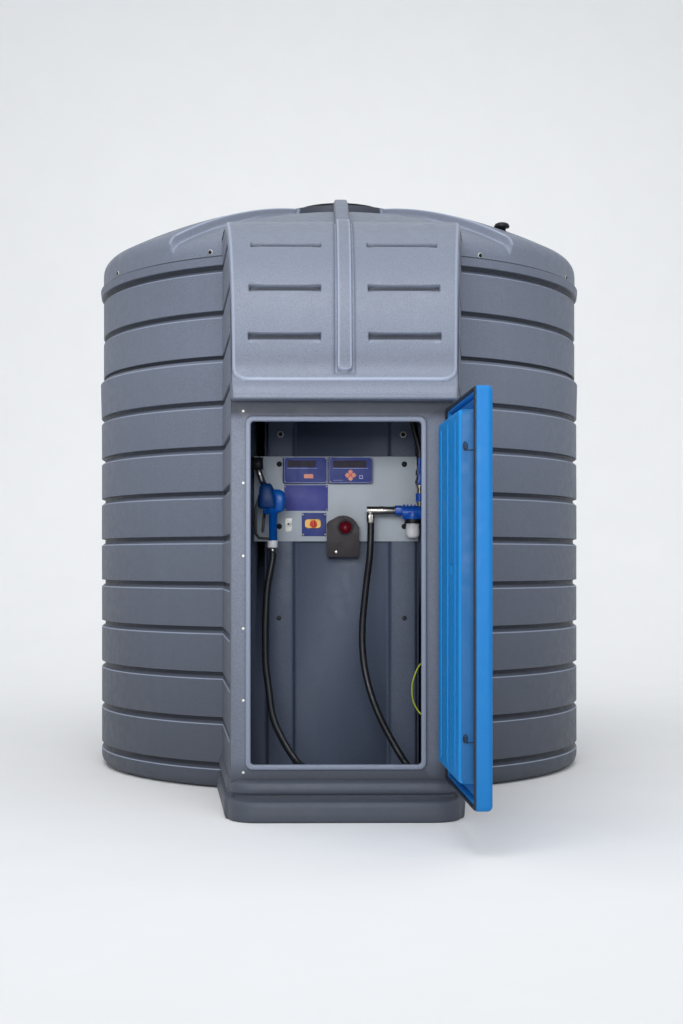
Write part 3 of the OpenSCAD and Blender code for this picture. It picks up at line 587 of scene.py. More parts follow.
def hood_height(x, s, half, pad_s, slot_s):
    """How far the moulding stands off the plain hood, and its painted shading: painted highlights along the pad's and
    the rib's edges and on the slots' lower lips, painted shade in the slots and in a band above the pad's lower edge.
    """
    side = half - 0.004 - abs(x)
    below = s - pad_s
    r = 0.055
    if side < r and below < r:
        d = r - math.hypot(r - side, r - below)
    else:
        d = min(side, below)
    h = 0.015 * rounded(d, 0.013) if d > 0.0 else 0.0
    light = 0.75 * smooth(d / 0.003) * smooth((0.012 - d) / 0.006)
    rib = inside_box(x, min(s - pad_s - 0.040 - 0.5, 0.0), 0.0245, 0.5, 0.018)
    if rib > 0.0:
        h += 0.011 * rounded(rib, 0.005)
        light = 0.7 * smooth(rib / 0.002) * smooth((0.007 - rib) / 0.003)
    elif below > 0.020 and abs(x) < 0.036:
        h -= 0.006 * smooth((0.036 - abs(x)) / 0.004) * smooth((below - 0.020) / 0.015)
    shade_here = -light
    for centre in slot_s:
        flare = 0.0025 * smooth((abs(abs(x) - SLOT_X) - SLOT_HALF[0] + 0.014) / 0.004)
        cut = inside_box(abs(x) - SLOT_X, s - centre, SLOT_HALF[0], SLOT_HALF[1] + flare, 0.003)
        if cut > -0.003:
            h -= 0.016 * smooth((cut + 0.003) / 0.005)
            up = smooth((s - centre + SLOT_HALF[1] + 0.001) / 0.007)
            shade_here = 0.95 * up * smooth((cut + 0.001) / 0.003) - 0.6 * (1.0 - up) * smooth((cut + 0.003) / 0.002)
    # painted shade in a soft band above the pad's lower edge
    if not shade_here:
        shade_here = 0.20 * math.exp(-((below - 0.090) / 0.036) ** 2)
    return h, shade_here


def hood(materials):
    line = Profile(hood_profile())
    lip = line.length_at_z(VISOR_Z + 0.010, 0.07)
    pad_s = line.length_at_z(PAD_Z, lip)
    slot_s = [line.length_at_face(z, lip, 0.015) for z in SLOT_Z]
    near = (-0.0145, -0.0125, -0.0105, -0.009, -0.007, 0.007, 0.009, 0.0105, 0.0125, 0.0145)
    marks = [pad_s + d for d in (0.0, 0.001, 0.002, 0.004, 0.007, 0.010, 0.013, 0.020, 0.027, 0.035,
                                 0.041, 0.043, 0.046, 0.052, 0.058)]
    marks += [c + d for c in slot_s for d in near]
    marks += [0.012 + 0.002 * k for k in range(-3, 4)] + [lip + 0.003 * k for k in range(-8, 8)]
    rows_s = spread_values(marks, 0.0, line.s[-1], 0.011)
    inner = [0.0, 0.008, 0.015, 0.019, 0.0215, 0.0230, 0.0240, 0.0245, 0.0252, 0.028, 0.031, 0.0325, 0.034,
             0.036, 0.045, 0.060, 0.0745, 0.0765, 0.0785, 0.080, 0.082, 0.085, 0.110, 0.150, 0.200, 0.250,
             0.290, 0.315, 0.318, 0.3195, 0.3215, 0.3235, 0.326, 0.329]
    outer = [0.036, 0.030, 0.026, 0.0245, 0.023, 0.020, 0.017, 0.0145, 0.0132, 0.0125, 0.012]
    rows, painted_shading = [], []
    for s in rows_s:
        (y, z), (ny, nz) = line.at(s)
        half = half_width(max(y, -1.66))
        cols = [(x, 0.0) for x in inner] + [(half - e, 0.0) for e in outer if half - e > 0.331]
        while len(cols) < len(inner) + len(outer):
            cols.insert(len(inner), (0.330, 0.0))
        for a in range(15, 91, 15):
            cols.append((half - 0.009 + 0.009 * math.sin(math.radians(a)),
                         -0.009 + 0.009 * math.cos(math.radians(a))))
        cols.append((half + 0.0003, -0.014))
        full = [(-x, off) for x, off in reversed(cols[1:])] + cols
        row = []
        for x, off in full:
            h, dark = hood_height(x, s, half, pad_s, slot_s) if s > lip - 0.02 else (0.0, 0.0)
            h += off + 0.0010 * noise.noise(Vector((x, y, z)) * 4.0)
            row.append((x, y + ny * h, z + nz * h))
            # painted shading: highlights on edges, shade in the slots and in the band
            painted_shading.append(dark)
        rows.append(row)
    to_object("hood_shell", from_grid("hood_shell", rows, painted_shading=painted_shading), "tank", materials["hood"],
              ["cabinet_hood", "hood_pad"])


# Roof cover: hub, side sectors, set-down front and rear sectors with a rib in each

DOME_R = (1.012 ** 2 + 0.260 ** 2) / 0.520
DOME_C = APEX - DOME_R
SECTOR_ANGLE = math.radians(41.0)
SECTOR_DROP = 0.038
HUB_R = 0.282
SHOULDER_R = 0.065
SHOULDER_C = SKIRT_R - SHOULDER_R
SHOULDER_Z = DOME_C + math.sqrt((DOME_R - SHOULDER_R) ** 2 - SHOULDER_C ** 2)
SHOULDER_START = math.asin(SHOULDER_C / (DOME_R - SHOULDER_R))


def dome_z(r):
    return DOME_C + math.sqrt(DOME_R ** 2 - min(r, SKIRT_R) ** 2)


def skirt_line(lowered):
    """Radius and height over the rounded shoulder, tangent to the dome, and down to the skirt's lip."""
    drop = SECTOR_DROP if lowered else 0.0
    pts = []
    for k in range(11):
        a = SHOULDER_START + (math.pi / 2 - SHOULDER_START) * k / 10
        pts.append((SHOULDER_C + SHOULDER_R * math.sin(a), SHOULDER_Z + SHOULDER_R * math.cos(a) - drop))
    low = pts[-1][1]
    for k in range(1, 4):
        pts.append((SKIRT_R, low + (2.012 - low) * k / 3))
    return pts + [(1.0125, 2.0085), (1.0148, 2.0062), (1.017, 2.0045), (1.017, 2.000)]


def roof_columns():
    """Angles round the roof, close together at the sectors' edges and at the ribs."""
    marks = []
    for edge in (SECTOR_ANGLE, math.pi - SECTOR_ANGLE, math.pi + SECTOR_ANGLE, 2 * math.pi - SECTOR_ANGLE):
        marks += [edge + d for d in (-0.030, -0.022, -0.016, -0.012, -0.009, -0.006, -0.003, 0.0,
                                     0.003, 0.006, 0.009, 0.012, 0.016, 0.022, 0.030)]
    return spread_values(marks, 0.0, 2 * math.pi, math.radians(2.5))[:-1]


def sector_share(angle, r):
    """1 inside a set-down sector, 0 outside it, with a short sloping wall between."""
    turn = abs((angle + math.pi / 2) % math.pi - math.pi / 2)
    across = (SECTOR_ANGLE - turn) * r
    return smooth(across / 0.020) * smooth((r - HUB_R) / 0.010)


def roof_shade(angle, r):
    """Painted highlight along the upper edges of the sectors' walls, painted shade on the hub's wall."""
    turn = abs((angle + math.pi / 2) % math.pi - math.pi / 2)
    across = (SECTOR_ANGLE - turn) * r
    if r > HUB_R:
        light = max(smooth((0.006 - abs(across)) / 0.004), 0.6 * smooth((0.006 - abs(across - 0.020)) / 0.004))
        if light > 0.0:
            return -0.8 * light
    return 0.9 * smooth(across / 0.020) * smooth((r - HUB_R + 0.003) / 0.003) * smooth((HUB_R + 0.016 - r) / 0.004)


def roof(materials):
    radii = spread_values([HUB_R + d for d in (-0.006, -0.003, 0.0, 0.002, 0.004, 0.006, 0.008, 0.010, 0.014)],
                          0.186, DOME_R * math.sin(SHOULDER_START) - 0.004, 0.024)
    columns = roof_columns()
    rows, painted_shading = [], []
    for r in radii:
        row = []
        for a in columns:
            # painted highlight along the sectors' walls, painted shade on the hub's wall
            painted_shading.append(roof_shade(a, r))
            z = dome_z(r) - SECTOR_DROP * sector_share(a, r)
            z += 0.0012 * noise.noise(Vector((r * math.sin(a), r * math.cos(a), 0.0)) * 3.0)
            row.append((r * math.sin(a), -r * math.cos(a), z))
        rows.append(row)
    for (r, high), (_, low) in zip(skirt_line(False), skirt_line(True)):
        rows.append([(r * math.sin(a), -r * math.cos(a), high + (low - high) * sector_share(a, r))
                     for a in columns])
        # painted shade along the skirt's lower rim where it meets the wall, painted highlight along the sectors' walls
        # over the shoulder
        painted_shading += [0.9 if high < 2.0065 else (0.6 * roof_shade(a, r) if high > 2.080 else 0.0) for a in columns]
    to_object("roof_shell", from_grid("roof_shell", rows, True, painted_shading), "tank", materials["roof"],
              ["roof_cover", "roof_ribs"])
    for back in (False, True):
        roof_rib(materials, back)
    for k, (angle, z) in enumerate(((-29.4, 2.022), (-62.7, 2.019), (31.2, 2.016), (65.7, 2.015))):
        skirt_screw(materials, k, math.radians(angle), z)


def skirt_screw(materials, k, angle, z):
    """A screw in the cover's skirt: a light washer and a dark head."""
    out = Vector((math.sin(angle), -math.cos(angle), 0.0))
    side = Vector((math.cos(angle), math.sin(angle), 0.0))
    for name, shape, paint in (("washer", ((0.0105, -0.001), (0.0105, 0.0012), (0.0095, 0.0020), (0.0005, 0.0020)),
                                "zinc"),
                               ("head", ((0.0075, 0.0010), (0.0075, 0.0035), (0.0060, 0.0045), (0.0004, 0.0046)),
                                "black")):
        loops = [[tuple(out * (SKIRT_R + h) + side * (r * math.cos(a)) + Vector((0.0, 0.0, z + r * math.sin(a))))
                  for a in (2.0 * math.pi * m / 16 for m in range(16))] for r, h in shape]
        loops_object("skirt_%s_%d" % (name, k), loops, "tank", materials[paint])


def roof_rib(materials, back):
    """The rib in the middle of a set-down sector, from the hub out over the shoulder."""
    end = DOME_R * math.sin(SHOULDER_START)
    path = [(r, dome_z(r)) for r in (HUB_R - 0.012 + (end - HUB_R) * k / 30 for k in range(31))]
    path += skirt_line(False)[1:8]
    section = [(0.0285, None), (0.0275, -0.010), (0.0265, 0.000), (0.0250, 0.006), (0.0225, 0.0102),
               (0.0190, 0.0118), (0.010, 0.012), (0.0, 0.012)]
    rows = []
    for i, (r, z) in enumerate(path):
        prev, ahead = path[max(i - 1, 0)], path[min(i + 1, len(path) - 1)]
        dr, dz = ahead[0] - prev[0], ahead[1] - prev[1]
        size = math.hypot(dr, dz)
        rise = smooth((i + 0.5) / 2.5)
        half = []
        for x, h in section:
            if h is None:
                half.append((x, -r, z - SECTOR_DROP - 0.008))
            else:
                half.append((x, -(r - dz / size * h * rise), z + dr / size * h * rise))
        rows.append(half + [(-x, y, zz) for x, y, zz in reversed(half[:-1])])
    rows.append([(x, -SKIRT_R + 0.002, min(z, SHOULDER_Z - SECTOR_DROP)) for x, y, z in rows[-1]])
    if back:
        rows = [[(-x, -y, z) for x, y, z in row] for row in rows]
    to_object("roof_rib", from_grid("roof_rib", rows), "tank", materials["roof"],
              None)


# Base of the cabinet: one moulding with a foot, a groove and an upper band

BASE_STEPS = [(0.000, -0.005, 0.002), (0.000, 0.083, 0.014), (0.004, 0.088, 0.018), (0.010, 0.091, 0.020),
              (0.030, 0.091, 0.020), (0.050, 0.091, 0.020), (0.058, 0.0905, 0.0195), (0.064, 0.087, 0.017),
              (0.0675, 0.082, 0.014), (0.0695, 0.074, 0.011), (0.071, 0.062, 0.008), (0.073, 0.050, 0.005),
              (0.076, 0.041, 0.0035), (0.079, 0.037, 0.003), (0.083, 0.036, 0.004), (0.086, 0.039, 0.006),
              (0.089, 0.044, 0.009), (0.094, 0.048, 0.012), (0.105, 0.048, 0.012), (0.116, 0.0475, 0.0115),
              (0.121, 0.045, 0.010), (0.125, 0.040, 0.007), (0.128, 0.030, 0.004), (0.130, 0.018, 0.002),
              (0.131, 0.004, 0.000)]


def base_moulding(materials):
    rows = []
    for z, front, spread in BASE_STEPS:
        y0 = FRONT_Y - front
        half = half_width(y0) + spread
        r = 0.100 - (0.091 - front) * 0.4
        left = []
        for k in range(13):
            y = -0.886 + (y0 + r + 0.886) * k / 12
            left.append((half_width(y) + spread, y))
        for k in range(1, 13):
            a = math.radians(90.0 * k / 12)
            left.append((half - r + r * math.cos(a), y0 + r - r * math.sin(a)))
        for k in range(1, 9):
            left.append(((half - r) * (1.0 - k / 8), y0))
        row = [(x, y, z) for x, y in left] + [(-x, y, z) for x, y in reversed(left[:-1])]
        rows.append(row)
    to_object("base_moulding", from_grid("base_moulding", rows), "tank", materials["grey"], ["cabinet_base"])


# Sides of the cabinet, into which the tank's grooves run out

def hood_underside(y):
    """Height of the side wall's top at y, 12 mm under the hood's face."""
    if y > HOOD_CY:
        return HOOD_CZ + HOOD_R - 0.012
    low, high = VISOR_Z + 0.012, HOOD_CZ + HOOD_R
    pts = [p for p in hood_profile()[5:] if p[0] > -1.66]
    for a, b in zip(pts, pts[1:]):
        if a[0] <= y <= b[0]:
            t = (y - a[0]) / max(1e-9, b[0] - a[0])
            return min(high, a[1] + (b[1] - a[1]) * t) - 0.012
    return low


def cabinet_side_walls(materials):
    heights = [0.0, 0.02]
    for centre in GROOVE_Z:
        heights += groove_rows(centre) + [centre + 0.060, centre + 0.100]
    heights = [z for z in sorted(heights) if z < 2.07]
    depths = [-1.580 + (0.008 * k if k < 24 else 0.192 + 0.026 * (k - 24)) for k in range(45)]
    for side in (-1.0, 1.0):
        rows, painted_shading = [], []
        for z in heights:
            depth, dark = groove_shape(z)
            row, shades = [], []
            for y in depths:
                fade = smooth((y + 1.525) / 0.070)
                row.append((side * (half_width(y) - 0.012 * depth * fade), y, min(z, hood_underside(y))))
                # the grooves' painted shade and highlight, fading out towards the front
                shades.append(dark * fade)
            rows.append(row if side > 0.0 else row[::-1])
            painted_shading += shades if side > 0.0 else shades[::-1]
        to_object("side_wall", from_grid("side_wall", rows, painted_shading=painted_shading), "tank", materials["grey"],
                  ["cabinet_sides"] if side > 0.0 else None)
        cheek = []
        for k in range(16):
            y = -1.6565 + (0.0785) * k / 15
            x = side * (half_width(y) - 0.0005)
            top = hood_underside(y) + 0.006
            low = VISOR_Z + 0.002
            cheek.append([(x, y, low + (max(top, low) - low) * m / 6) for m in range(7)])
        mesh = from_grid("visor_cheek", cheek if side < 0.0 else cheek[::-1])
        to_object("visor_cheek", mesh, "tank", materials["hood"])


# Door: shell, hinge side and liner, drawn closed about the hinge and turned to rest

DOOR_T = 0.057
DOOR_REACH = 0.700
DOOR_Z0, DOOR_Z1 = 0.136, 1.361
HINGE_OUT = 0.018
HINGE_Z = [0.300, 0.750, 1.200]
LINER = (0.101, 0.609, 0.205, 1.300)


def at_door(s, t, z):
    """A point of the open door: s from the hinge to the free edge, t outwards, z up."""
    x, y = -s, HINGE_OUT - t
    c, k = math.cos(DOOR_REST), math.sin(DOOR_REST)
    return (HINGE.x + x * c - y * k, HINGE.y + x * k + y * c, z)


def door_loop(s0, s1, z0, z1, r, t, steps=6, along=10):
    """A closed loop on the door, a box with rounded corners."""
    loop = []
    corners = [(s1 - r, z1 - r, 0.0), (s0 + r, z1 - r, 90.0), (s0 + r, z0 + r, 180.0), (s1 - r, z0 + r, 270.0)]
    for i, (cs, cz, a0) in enumerate(corners):
        for k in range(steps + 1):
            a = math.radians(a0 + 90.0 * k / steps)
            loop.append((cs + r * math.cos(a), cz + r * math.sin(a)))
        ns, nz, na = corners[(i + 1) % 4]
        start = loop[-1]
        stop = (ns + r * math.cos(math.radians(na)), nz + r * math.sin(math.radians(na)))
        for k in range(1, along):
            f = k / along
            loop.append((start[0] + (stop[0] - start[0]) * f, start[1] + (stop[1] - start[1]) * f))
    return [at_door(s, t, z) for s, z in loop]


def close_ends(mesh, rows, wide):
    """Fill the first and last loops of a mesh made of closed loops."""
    bm = bmesh.new()
    bm.from_mesh(mesh)
    bm.verts.ensure_lookup_table()
    bm.faces.new([bm.verts[j] for j in range(wide)][::-1])
    bm.faces.new([bm.verts[(rows - 1) * wide + j] for j in range(wide)])
    bmesh.ops.recalc_face_normals(bm, faces=bm.faces)
    bm.to_mesh(mesh)
    bm.free()


def loops_object(name, loops, body, material, node=None):
    mesh = from_grid(name, loops, True)
    close_ends(mesh, len(loops), len(loops[0]))
    return to_object(name, mesh, body, material, node)


def extruded(name, outline, z0, z1, place, body, material, soft=0.002, node=None):
    """A prism of an outline given in the place function's own plane, with softened edges."""
    n = len(outline)
    mesh = bpy.data.meshes.new(name)
    verts = [place(a, b, z) for z in (z0, z1) for a, b in outline]
    faces = [tuple(range(n))[::-1], tuple(range(n, 2 * n))]
    faces += [(i, (i + 1) % n, n + (i + 1) % n, n + i) for i in range(n)]
    mesh.from_pydata(verts, [], faces)
    bm = bmesh.new()
    bm.from_mesh(mesh)
    bmesh.ops.recalc_face_normals(bm, faces=bm.faces)
    bm.to_mesh(mesh)
    bm.free()
    obj = to_object(name, mesh, body, material, node)
    soften(obj, soft)
    return obj


def soften(obj, width, segments=3, angle=30.0):
    edge = obj.modifiers.new("edges", "BEVEL")
    edge.width = width
    edge.segments = segments
    edge.limit_method = "ANGLE"
    edge.angle_limit = math.radians(angle)
    edge.harden_normals = True


def door_shell(materials):
    s0, s1, z0, z1 = 0.0135, DOOR_REACH, DOOR_Z0, DOOR_Z1
    loops = [door_loop(0.070, s1 - 0.040, z0 + 0.070, z1 - 0.070, 0.030, DOOR_T - 0.009),
             door_loop(0.036, s1 - 0.036, z0 + 0.066, z1 - 0.066, 0.034, DOOR_T - 0.008),
             door_loop(0.031, s1 - 0.031, z0 + 0.061, z1 - 0.061, 0.036, DOOR_T - 0.001),
             door_loop(0.028, s1 - 0.028, z0 + 0.058, z1 - 0.058, 0.038, DOOR_T)]
    for a in range(0, 91, 15):
        inset = 0.015 * (1.0 - math.sin(math.radians(a)))
        loops.append(door_loop(s0, s1 - inset, z0 + inset, z1 - inset, max(0.004, 0.016 - inset * 0.7),
                               DOOR_T - 0.015 * (1.0 - math.cos(math.radians(a)))))
    loops += [door_loop(s0, s1, z0, z1, 0.016, t) for t in (0.036, 0.024, 0.014)]
    loops += [door_loop(s0, s1 - d, z0 + d, z1 - d, 0.016, t) for d, t in ((0.0005, 0.0105), (0.002, 0.0085),
                                                                           (0.004, 0.008))]
    loops += [door_loop(0.058, s1 - 0.018, z0 + 0.020, z1 - 0.020, 0.012, 0.008),
              door_loop(0.060, s1 - 0.020, z0 + 0.022, z1 - 0.022, 0.012, 0.010),
              door_loop(0.061, s1 - 0.021, z0 + 0.023, z1 - 0.023, 0.012, 0.022),
              door_loop(0.064, s1 - 0.024, z0 + 0.026, z1 - 0.026, 0.012, 0.030)]
    loops_object("door_shell", loops, "door", materials["door"], ["door_skin"])
    edge = [(0.0135, 0.031), (0.0135, DOOR_T), (0.003, DOOR_T)]
    for a in range(15, 91, 15):
        edge.append((0.003 - 0.015 * math.sin(math.radians(a)), DOOR_T - 0.015 * (1.0 - math.cos(math.radians(a)))))
    edge.append((-0.012, 0.031))
    extruded("door_hinge_edge", edge, DOOR_Z0 + 0.002, DOOR_Z1 - 0.002, at_door, "door", materials["door"], 0.003)
    stops = [DOOR_Z0] + [z + d for z in HINGE_Z for d in (-0.045, 0.045)] + [DOOR_Z1]
    for low, high in zip(stops[::2], stops[1::2]):
        block = [(-0.012, 0.008), (0.0135, 0.008), (0.0135, 0.0315), (-0.012, 0.0315)]
        extruded("door_hinge_fill", block, low, high, at_door, "door", materials["door"], 0.002)


def liner_height(s, z):
    """How far the liner's face is pressed back at a place on it."""
    cut = 0.0
    for k in (1, 3, 5):
        centre = LINER[0] + (LINER[1] - LINER[0]) * k / 6
        d = inside_box(s - centre, z - 0.5 * (LINER[2] + LINER[3]), 0.013, 0.5 * (LINER[3] - LINER[2]) - 0.018, 0.013)
        if d > 0.0:
            cut = max(cut, 0.012 * rounded(d, 0.013))
    pull = inside_box(s - 0.445, z - 0.832, 0.030, 0.013, 0.010)
    if pull > -0.002:
        cut = max(cut, 0.016 * smooth((pull + 0.002) / 0.005))
    edge = inside_box(s - 0.5 * (LINER[0] + LINER[1]), z - 0.5 * (LINER[2] + LINER[3]),
                      0.5 * (LINER[1] - LINER[0]), 0.5 * (LINER[3] - LINER[2]), 0.016)
    return cut + 0.010 * (1.0 - rounded(max(edge, 0.0), 0.010))


def door_liner(materials):
    marks = []
    for k in (1, 3, 5):
        centre = LINER[0] + (LINER[1] - LINER[0]) * k / 6
        marks += [centre + d * 0.0013 for d in (-10, -9.6, -9, -8, -6, -3, 0, 3, 6, 8, 9, 9.6, 10)]
    marks += [LINER[0] + d for d in (0.0005, 0.0015, 0.003, 0.006, 0.010)]
    marks += [LINER[1] - d for d in (0.0005, 0.0015, 0.003, 0.006, 0.010)]
    marks += [0.445 + d for d in (-0.033, -0.031, -0.028, 0.028, 0.031, 0.033)]
    across = spread_values(marks, LINER[0], LINER[1], 0.020)
    marks = [LINER[2] + d for d in (0.0005, 0.0015, 0.003, 0.006, 0.010, 0.0185, 0.020, 0.023, 0.027, 0.031)]
    marks += [LINER[3] - d for d in (0.0005, 0.0015, 0.003, 0.006, 0.010, 0.0185, 0.020, 0.023, 0.027, 0.031)]
    marks += [0.832 + d for d in (-0.016, -0.014, -0.011, 0.011, 0.014, 0.016)]
    up = spread_values(marks, LINER[2], LINER[3], 0.030)
    rows, painted_shading = [], []
    # painted shade on the liner's two side faces, painted highlight on its front face
    sides = [0.30] + [-0.28] * (len(across) - 1) + [0.56, 0.56]
    for i, z in enumerate(up):
        # painted shade in the pull's recess
        pull = [0.9 if inside_box(s - 0.445, z - 0.832, 0.030, 0.013, 0.010) > 0.0 else 0.0 for s in across]
        painted_shading += [max(a, b) for a, b in zip(sides, [0.0] + pull + [0.0])] if i else sides + sides
        row = [at_door(s, -0.030 + liner_height(s, z), z) for s in across]
        row.insert(0, at_door(across[0], 0.026, z))
        row.append(at_door(across[-1], 0.026, z))
        if i == 0:
            rows.append([at_door(s, 0.026, z) for s in [across[0]] + across + [across[-1]]])
        rows.append(row)
    rows.append([at_door(s, 0.026, up[-1]) for s in [across[0]] + across + [across[-1]]])
    painted_shading += sides
    mesh = from_grid("liner_face", rows, painted_shading=painted_shading)
    bm = bmesh.new()
    bm.from_mesh(mesh)
    bmesh.ops.remove_doubles(bm, verts=bm.verts, dist=0.00005)
    bmesh.ops.recalc_face_normals(bm, faces=bm.faces)
    bm.to_mesh(mesh)
    bm.free()
    to_object("liner_face", mesh, "door", materials["liner"], ["door_liner"])
    back = [door_loop(LINER[0] - 0.002, LINER[1] + 0.002, LINER[2] - 0.002, LINER[3] + 0.002, 0.004, 0.0262),
            door_loop(LINER[0] - 0.002, LINER[1] + 0.002, LINER[2] - 0.002, LINER[3] + 0.002, 0.004, 0.0200),
            door_loop(0.066, DOOR_REACH - 0.026, DOOR_Z0 + 0.028, DOOR_Z1 - 0.028, 0.012, 0.0200),
            door_loop(0.063, DOOR_REACH - 0.023, DOOR_Z0 + 0.025, DOOR_Z1 - 0.025, 0.012, 0.0215),
            door_loop(0.063, DOOR_REACH - 0.023, DOOR_Z0 + 0.025, DOOR_Z1 - 0.025, 0.012, 0.0260)]
    loops_object("liner_pan", back, "door", materials["door"])


def door_seal(materials):
    """A rubber profile with a round bead, all round the door's rim."""
    out, gap_in = 0.0025, 0.012
    shape = [(0.0, 0.0082), (0.0, 0.005), (0.15, 0.0025), (0.4, 0.001), (0.7, 0.0018), (0.9, 0.0045), (1.0, 0.0082)]
    loops = []
    for f, t in shape:
        d = out + gap_in * f
        loops.append(door_loop(0.020 + d * 2.4, DOOR_REACH - d, DOOR_Z0 + d, DOOR_Z1 - d, 0.016 - 0.6 * d, t))
    mesh = from_grid("seal_bead", loops, True)
    to_object("seal_bead", mesh, "door", materials["seal"], ["door_seal"])


def latch(materials, z):
    """A latch on the liner's free side: a small ring on a foot, and its thin rod to the rim."""
    s = LINER[1]
    foot = [(s - 0.001, -0.015), (s + 0.004, -0.015), (s + 0.004, -0.009), (s - 0.001, -0.009)]
    extruded("latch_foot", foot, z - 0.002, z + 0.012, at_door, "door", materials["seal"], 0.001)
    ring = [Vector(at_door(s + 0.005, -0.012 + 0.006 * math.cos(a), z + 0.006 + 0.012 * math.sin(a)))
            for a in (math.radians(18 * k) for k in range(21))]
    tube("latch_ring", ring, 0.0014, "door", materials["seal"], None, 8)
    rod = [Vector(at_door(s + 0.004, t, z - 0.005)) for t in (-0.010, -0.002, 0.006, 0.014)]
    tube("latch_rod", rod, 0.0013, "door", materials["seal"], None, 8)


def latches(materials):
    for z in (LINER[2] + 0.126, LINER[3] - 0.115):
        latch(materials, z)
    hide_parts("door_latches")


# Small pieces in the recess and on the cabinet

PLATE_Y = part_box("mounting_panel")[0][1]
DISPLAY_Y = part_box("display_cases")[0][1]
RECESS_Y = -0.856
NOZZLE_Y = sum(p[1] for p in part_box("nozzle_body")) / 2.0


def round_box(x0, x1, z0, z1, r, steps=4):
    """Outline of a box with rounded corners, sizes in millimetres."""
    pts = []
    for cx, cz, a0 in ((x1 - r, z1 - r, 0), (x0 + r, z1 - r, 90), (x0 + r, z0 + r, 180), (x1 - r, z0 + r, 270)):
        for k in range(steps + 1):
            a = math.radians(a0 + 90.0 * k / steps)
            pts.append(((cx + r * math.cos(a)) * MM, (cz + r * math.sin(a)) * MM))
    return pts


def facing(name, outline, y, depth, material, soft=0.0005, node=None):
    """A flat piece on a face that looks to the front; y is the face, depth stands out of it."""
    return extruded(name, outline, -0.0004, depth, lambda a, b, t: (a, y - t, b), "tank", material, soft, node)


def turned(name, x, z, y, shape, material, sides=20, body="tank"):
    """A turned piece with its axis to the front, from (radius, height) pairs in millimetres."""
    loops = [[((x + r * math.cos(a)) * MM, y - h * MM, (z + r * math.sin(a)) * MM)
              for a in (2.0 * math.pi * k / sides for k in range(sides))] for r, h in shape]
    return loops_object(name, loops, body, material)


def nozzle_part(name, levels, material):
    """Part of the nozzle's head: rounded boxes over each other, (height, left, right, half depth)."""
    loops = []
    for z, left, right, half in levels:
        loop = []
        for k in range(32):
            c, s = math.cos(math.pi * k / 16), math.sin(math.pi * k / 16)
            x = 0.5 * (left + right) + 0.5 * (right - left) * math.copysign(abs(c) ** 0.6, c)
            loop.append((x * MM, NOZZLE_Y + half * math.copysign(abs(s) ** 0.6, s) * MM, z * MM))
        loops.append(loop)
    return loops_object(name, loops, "tank", material)


def nozzle_head(materials):
    """The rubber boot over the nozzle's head, in a darker blue that is partly painted shade, and the wider body beside
    it on the right.
    """
    nozzle_part("nozzle_boot", ((1048, -298, -244, 20), (1050, -306, -240, 24), (1056, -310, -237, 27),
                                (1090, -307, -243, 29), (1122, -303, -252, 27), (1134, -299, -258, 23),
                                (1139, -293, -264, 17)), materials["boot_with_painted_shade"])
    nozzle_part("nozzle_cheek", ((1034, -246, -226, 12), (1038, -250, -218, 18), (1048, -252, -212, 22),
                                 (1088, -252, -207, 24), (1108, -256, -214, 22), (1117, -262, -228, 16)),
                materials["nozzle"])


def screw(name, x, z, y, r, material, sides=16):
    return turned(name, x, z, y, [(r, -0.4), (r, 0.6 * r * 0.5), (r * 0.85, r * 0.5), (r * 0.5, r * 0.62),
                                  (r * 0.1, r * 0.66)], material, sides)


def displays(materials):
    line, window = materials["line"], materials["window"]
    for name, x0, x1, wx0, wx1, wz in (("left", -221, -54, -205, -99, 1211), ("right", -50, 117, -34, 92, 1209)):
        facing("window_" + name, round_box(wx0, wx1, wz, 1235, 1.5), DISPLAY_Y, 0.0012, window, 0.0003,
               ["display_screens"] if name == "left" else None)
        for k, (a, b, c, d) in enumerate(((x0 + 3, x1 - 3, 1246.6, 1248), (x0 + 3, x1 - 3, 1151.6, 1153),
                                          (x0 + 3, x0 + 4.2, 1153, 1247), (x1 - 4.2, x1 - 3, 1153, 1247),
                                          (wx0, wx1 + 6, 1205, 1206.6))):
            facing("line_%s_%d" % (name, k), round_box(a, b, c, d, 0.3, 1), DISPLAY_Y, 0.0006, line, 0.0001)
        for k, (x, z) in enumerate(((x0 + 7, 1243), (x1 - 7, 1243), (x0 + 7, 1156), (x1 - 7, 1156))):
            screw("case_screw_%s_%d" % (name, k), x, z, DISPLAY_Y, 2.4, materials["steel"], 10)
    facing("key_bar", round_box(-143, -108, 1168, 1184, 2.0), DISPLAY_Y, 0.002, materials["salmon"], 0.0006,
           ["display_keys"])
    for k in range(4):
        c, q = math.cos(math.radians(90 * k)), math.sin(math.radians(90 * k))
        arrow = [(5, -5), (12, -9), (15, -9), (22, 0), (15, 9), (12, 9), (5, 5)]
        outline = [((32 + u * c - v * q) * MM, (1180 + u * q + v * c) * MM) for u, v in arrow]
        facing("key_arrow_%d" % k, outline, DISPLAY_Y, 0.002, materials["salmon"], 0.0006)
    facing("key_centre", round_box(27.5, 36.5, 1175.5, 1184.5, 1.0), DISPLAY_Y, 0.0016, materials["red"], 0.0004)
    facing("key_ring", round_box(65, 79, 1166, 1180, 1.5), DISPLAY_Y, 0.0008, line, 0.0002)
    facing("key_ring_inner", round_box(68, 76, 1169, 1177, 1.0), DISPLAY_Y, 0.0011, materials["display"], 0.0002)
    facing("key_mark", round_box(-34, 4, 1160, 1161.6, 0.5, 1), DISPLAY_Y, 0.0006, line, 0.0001)


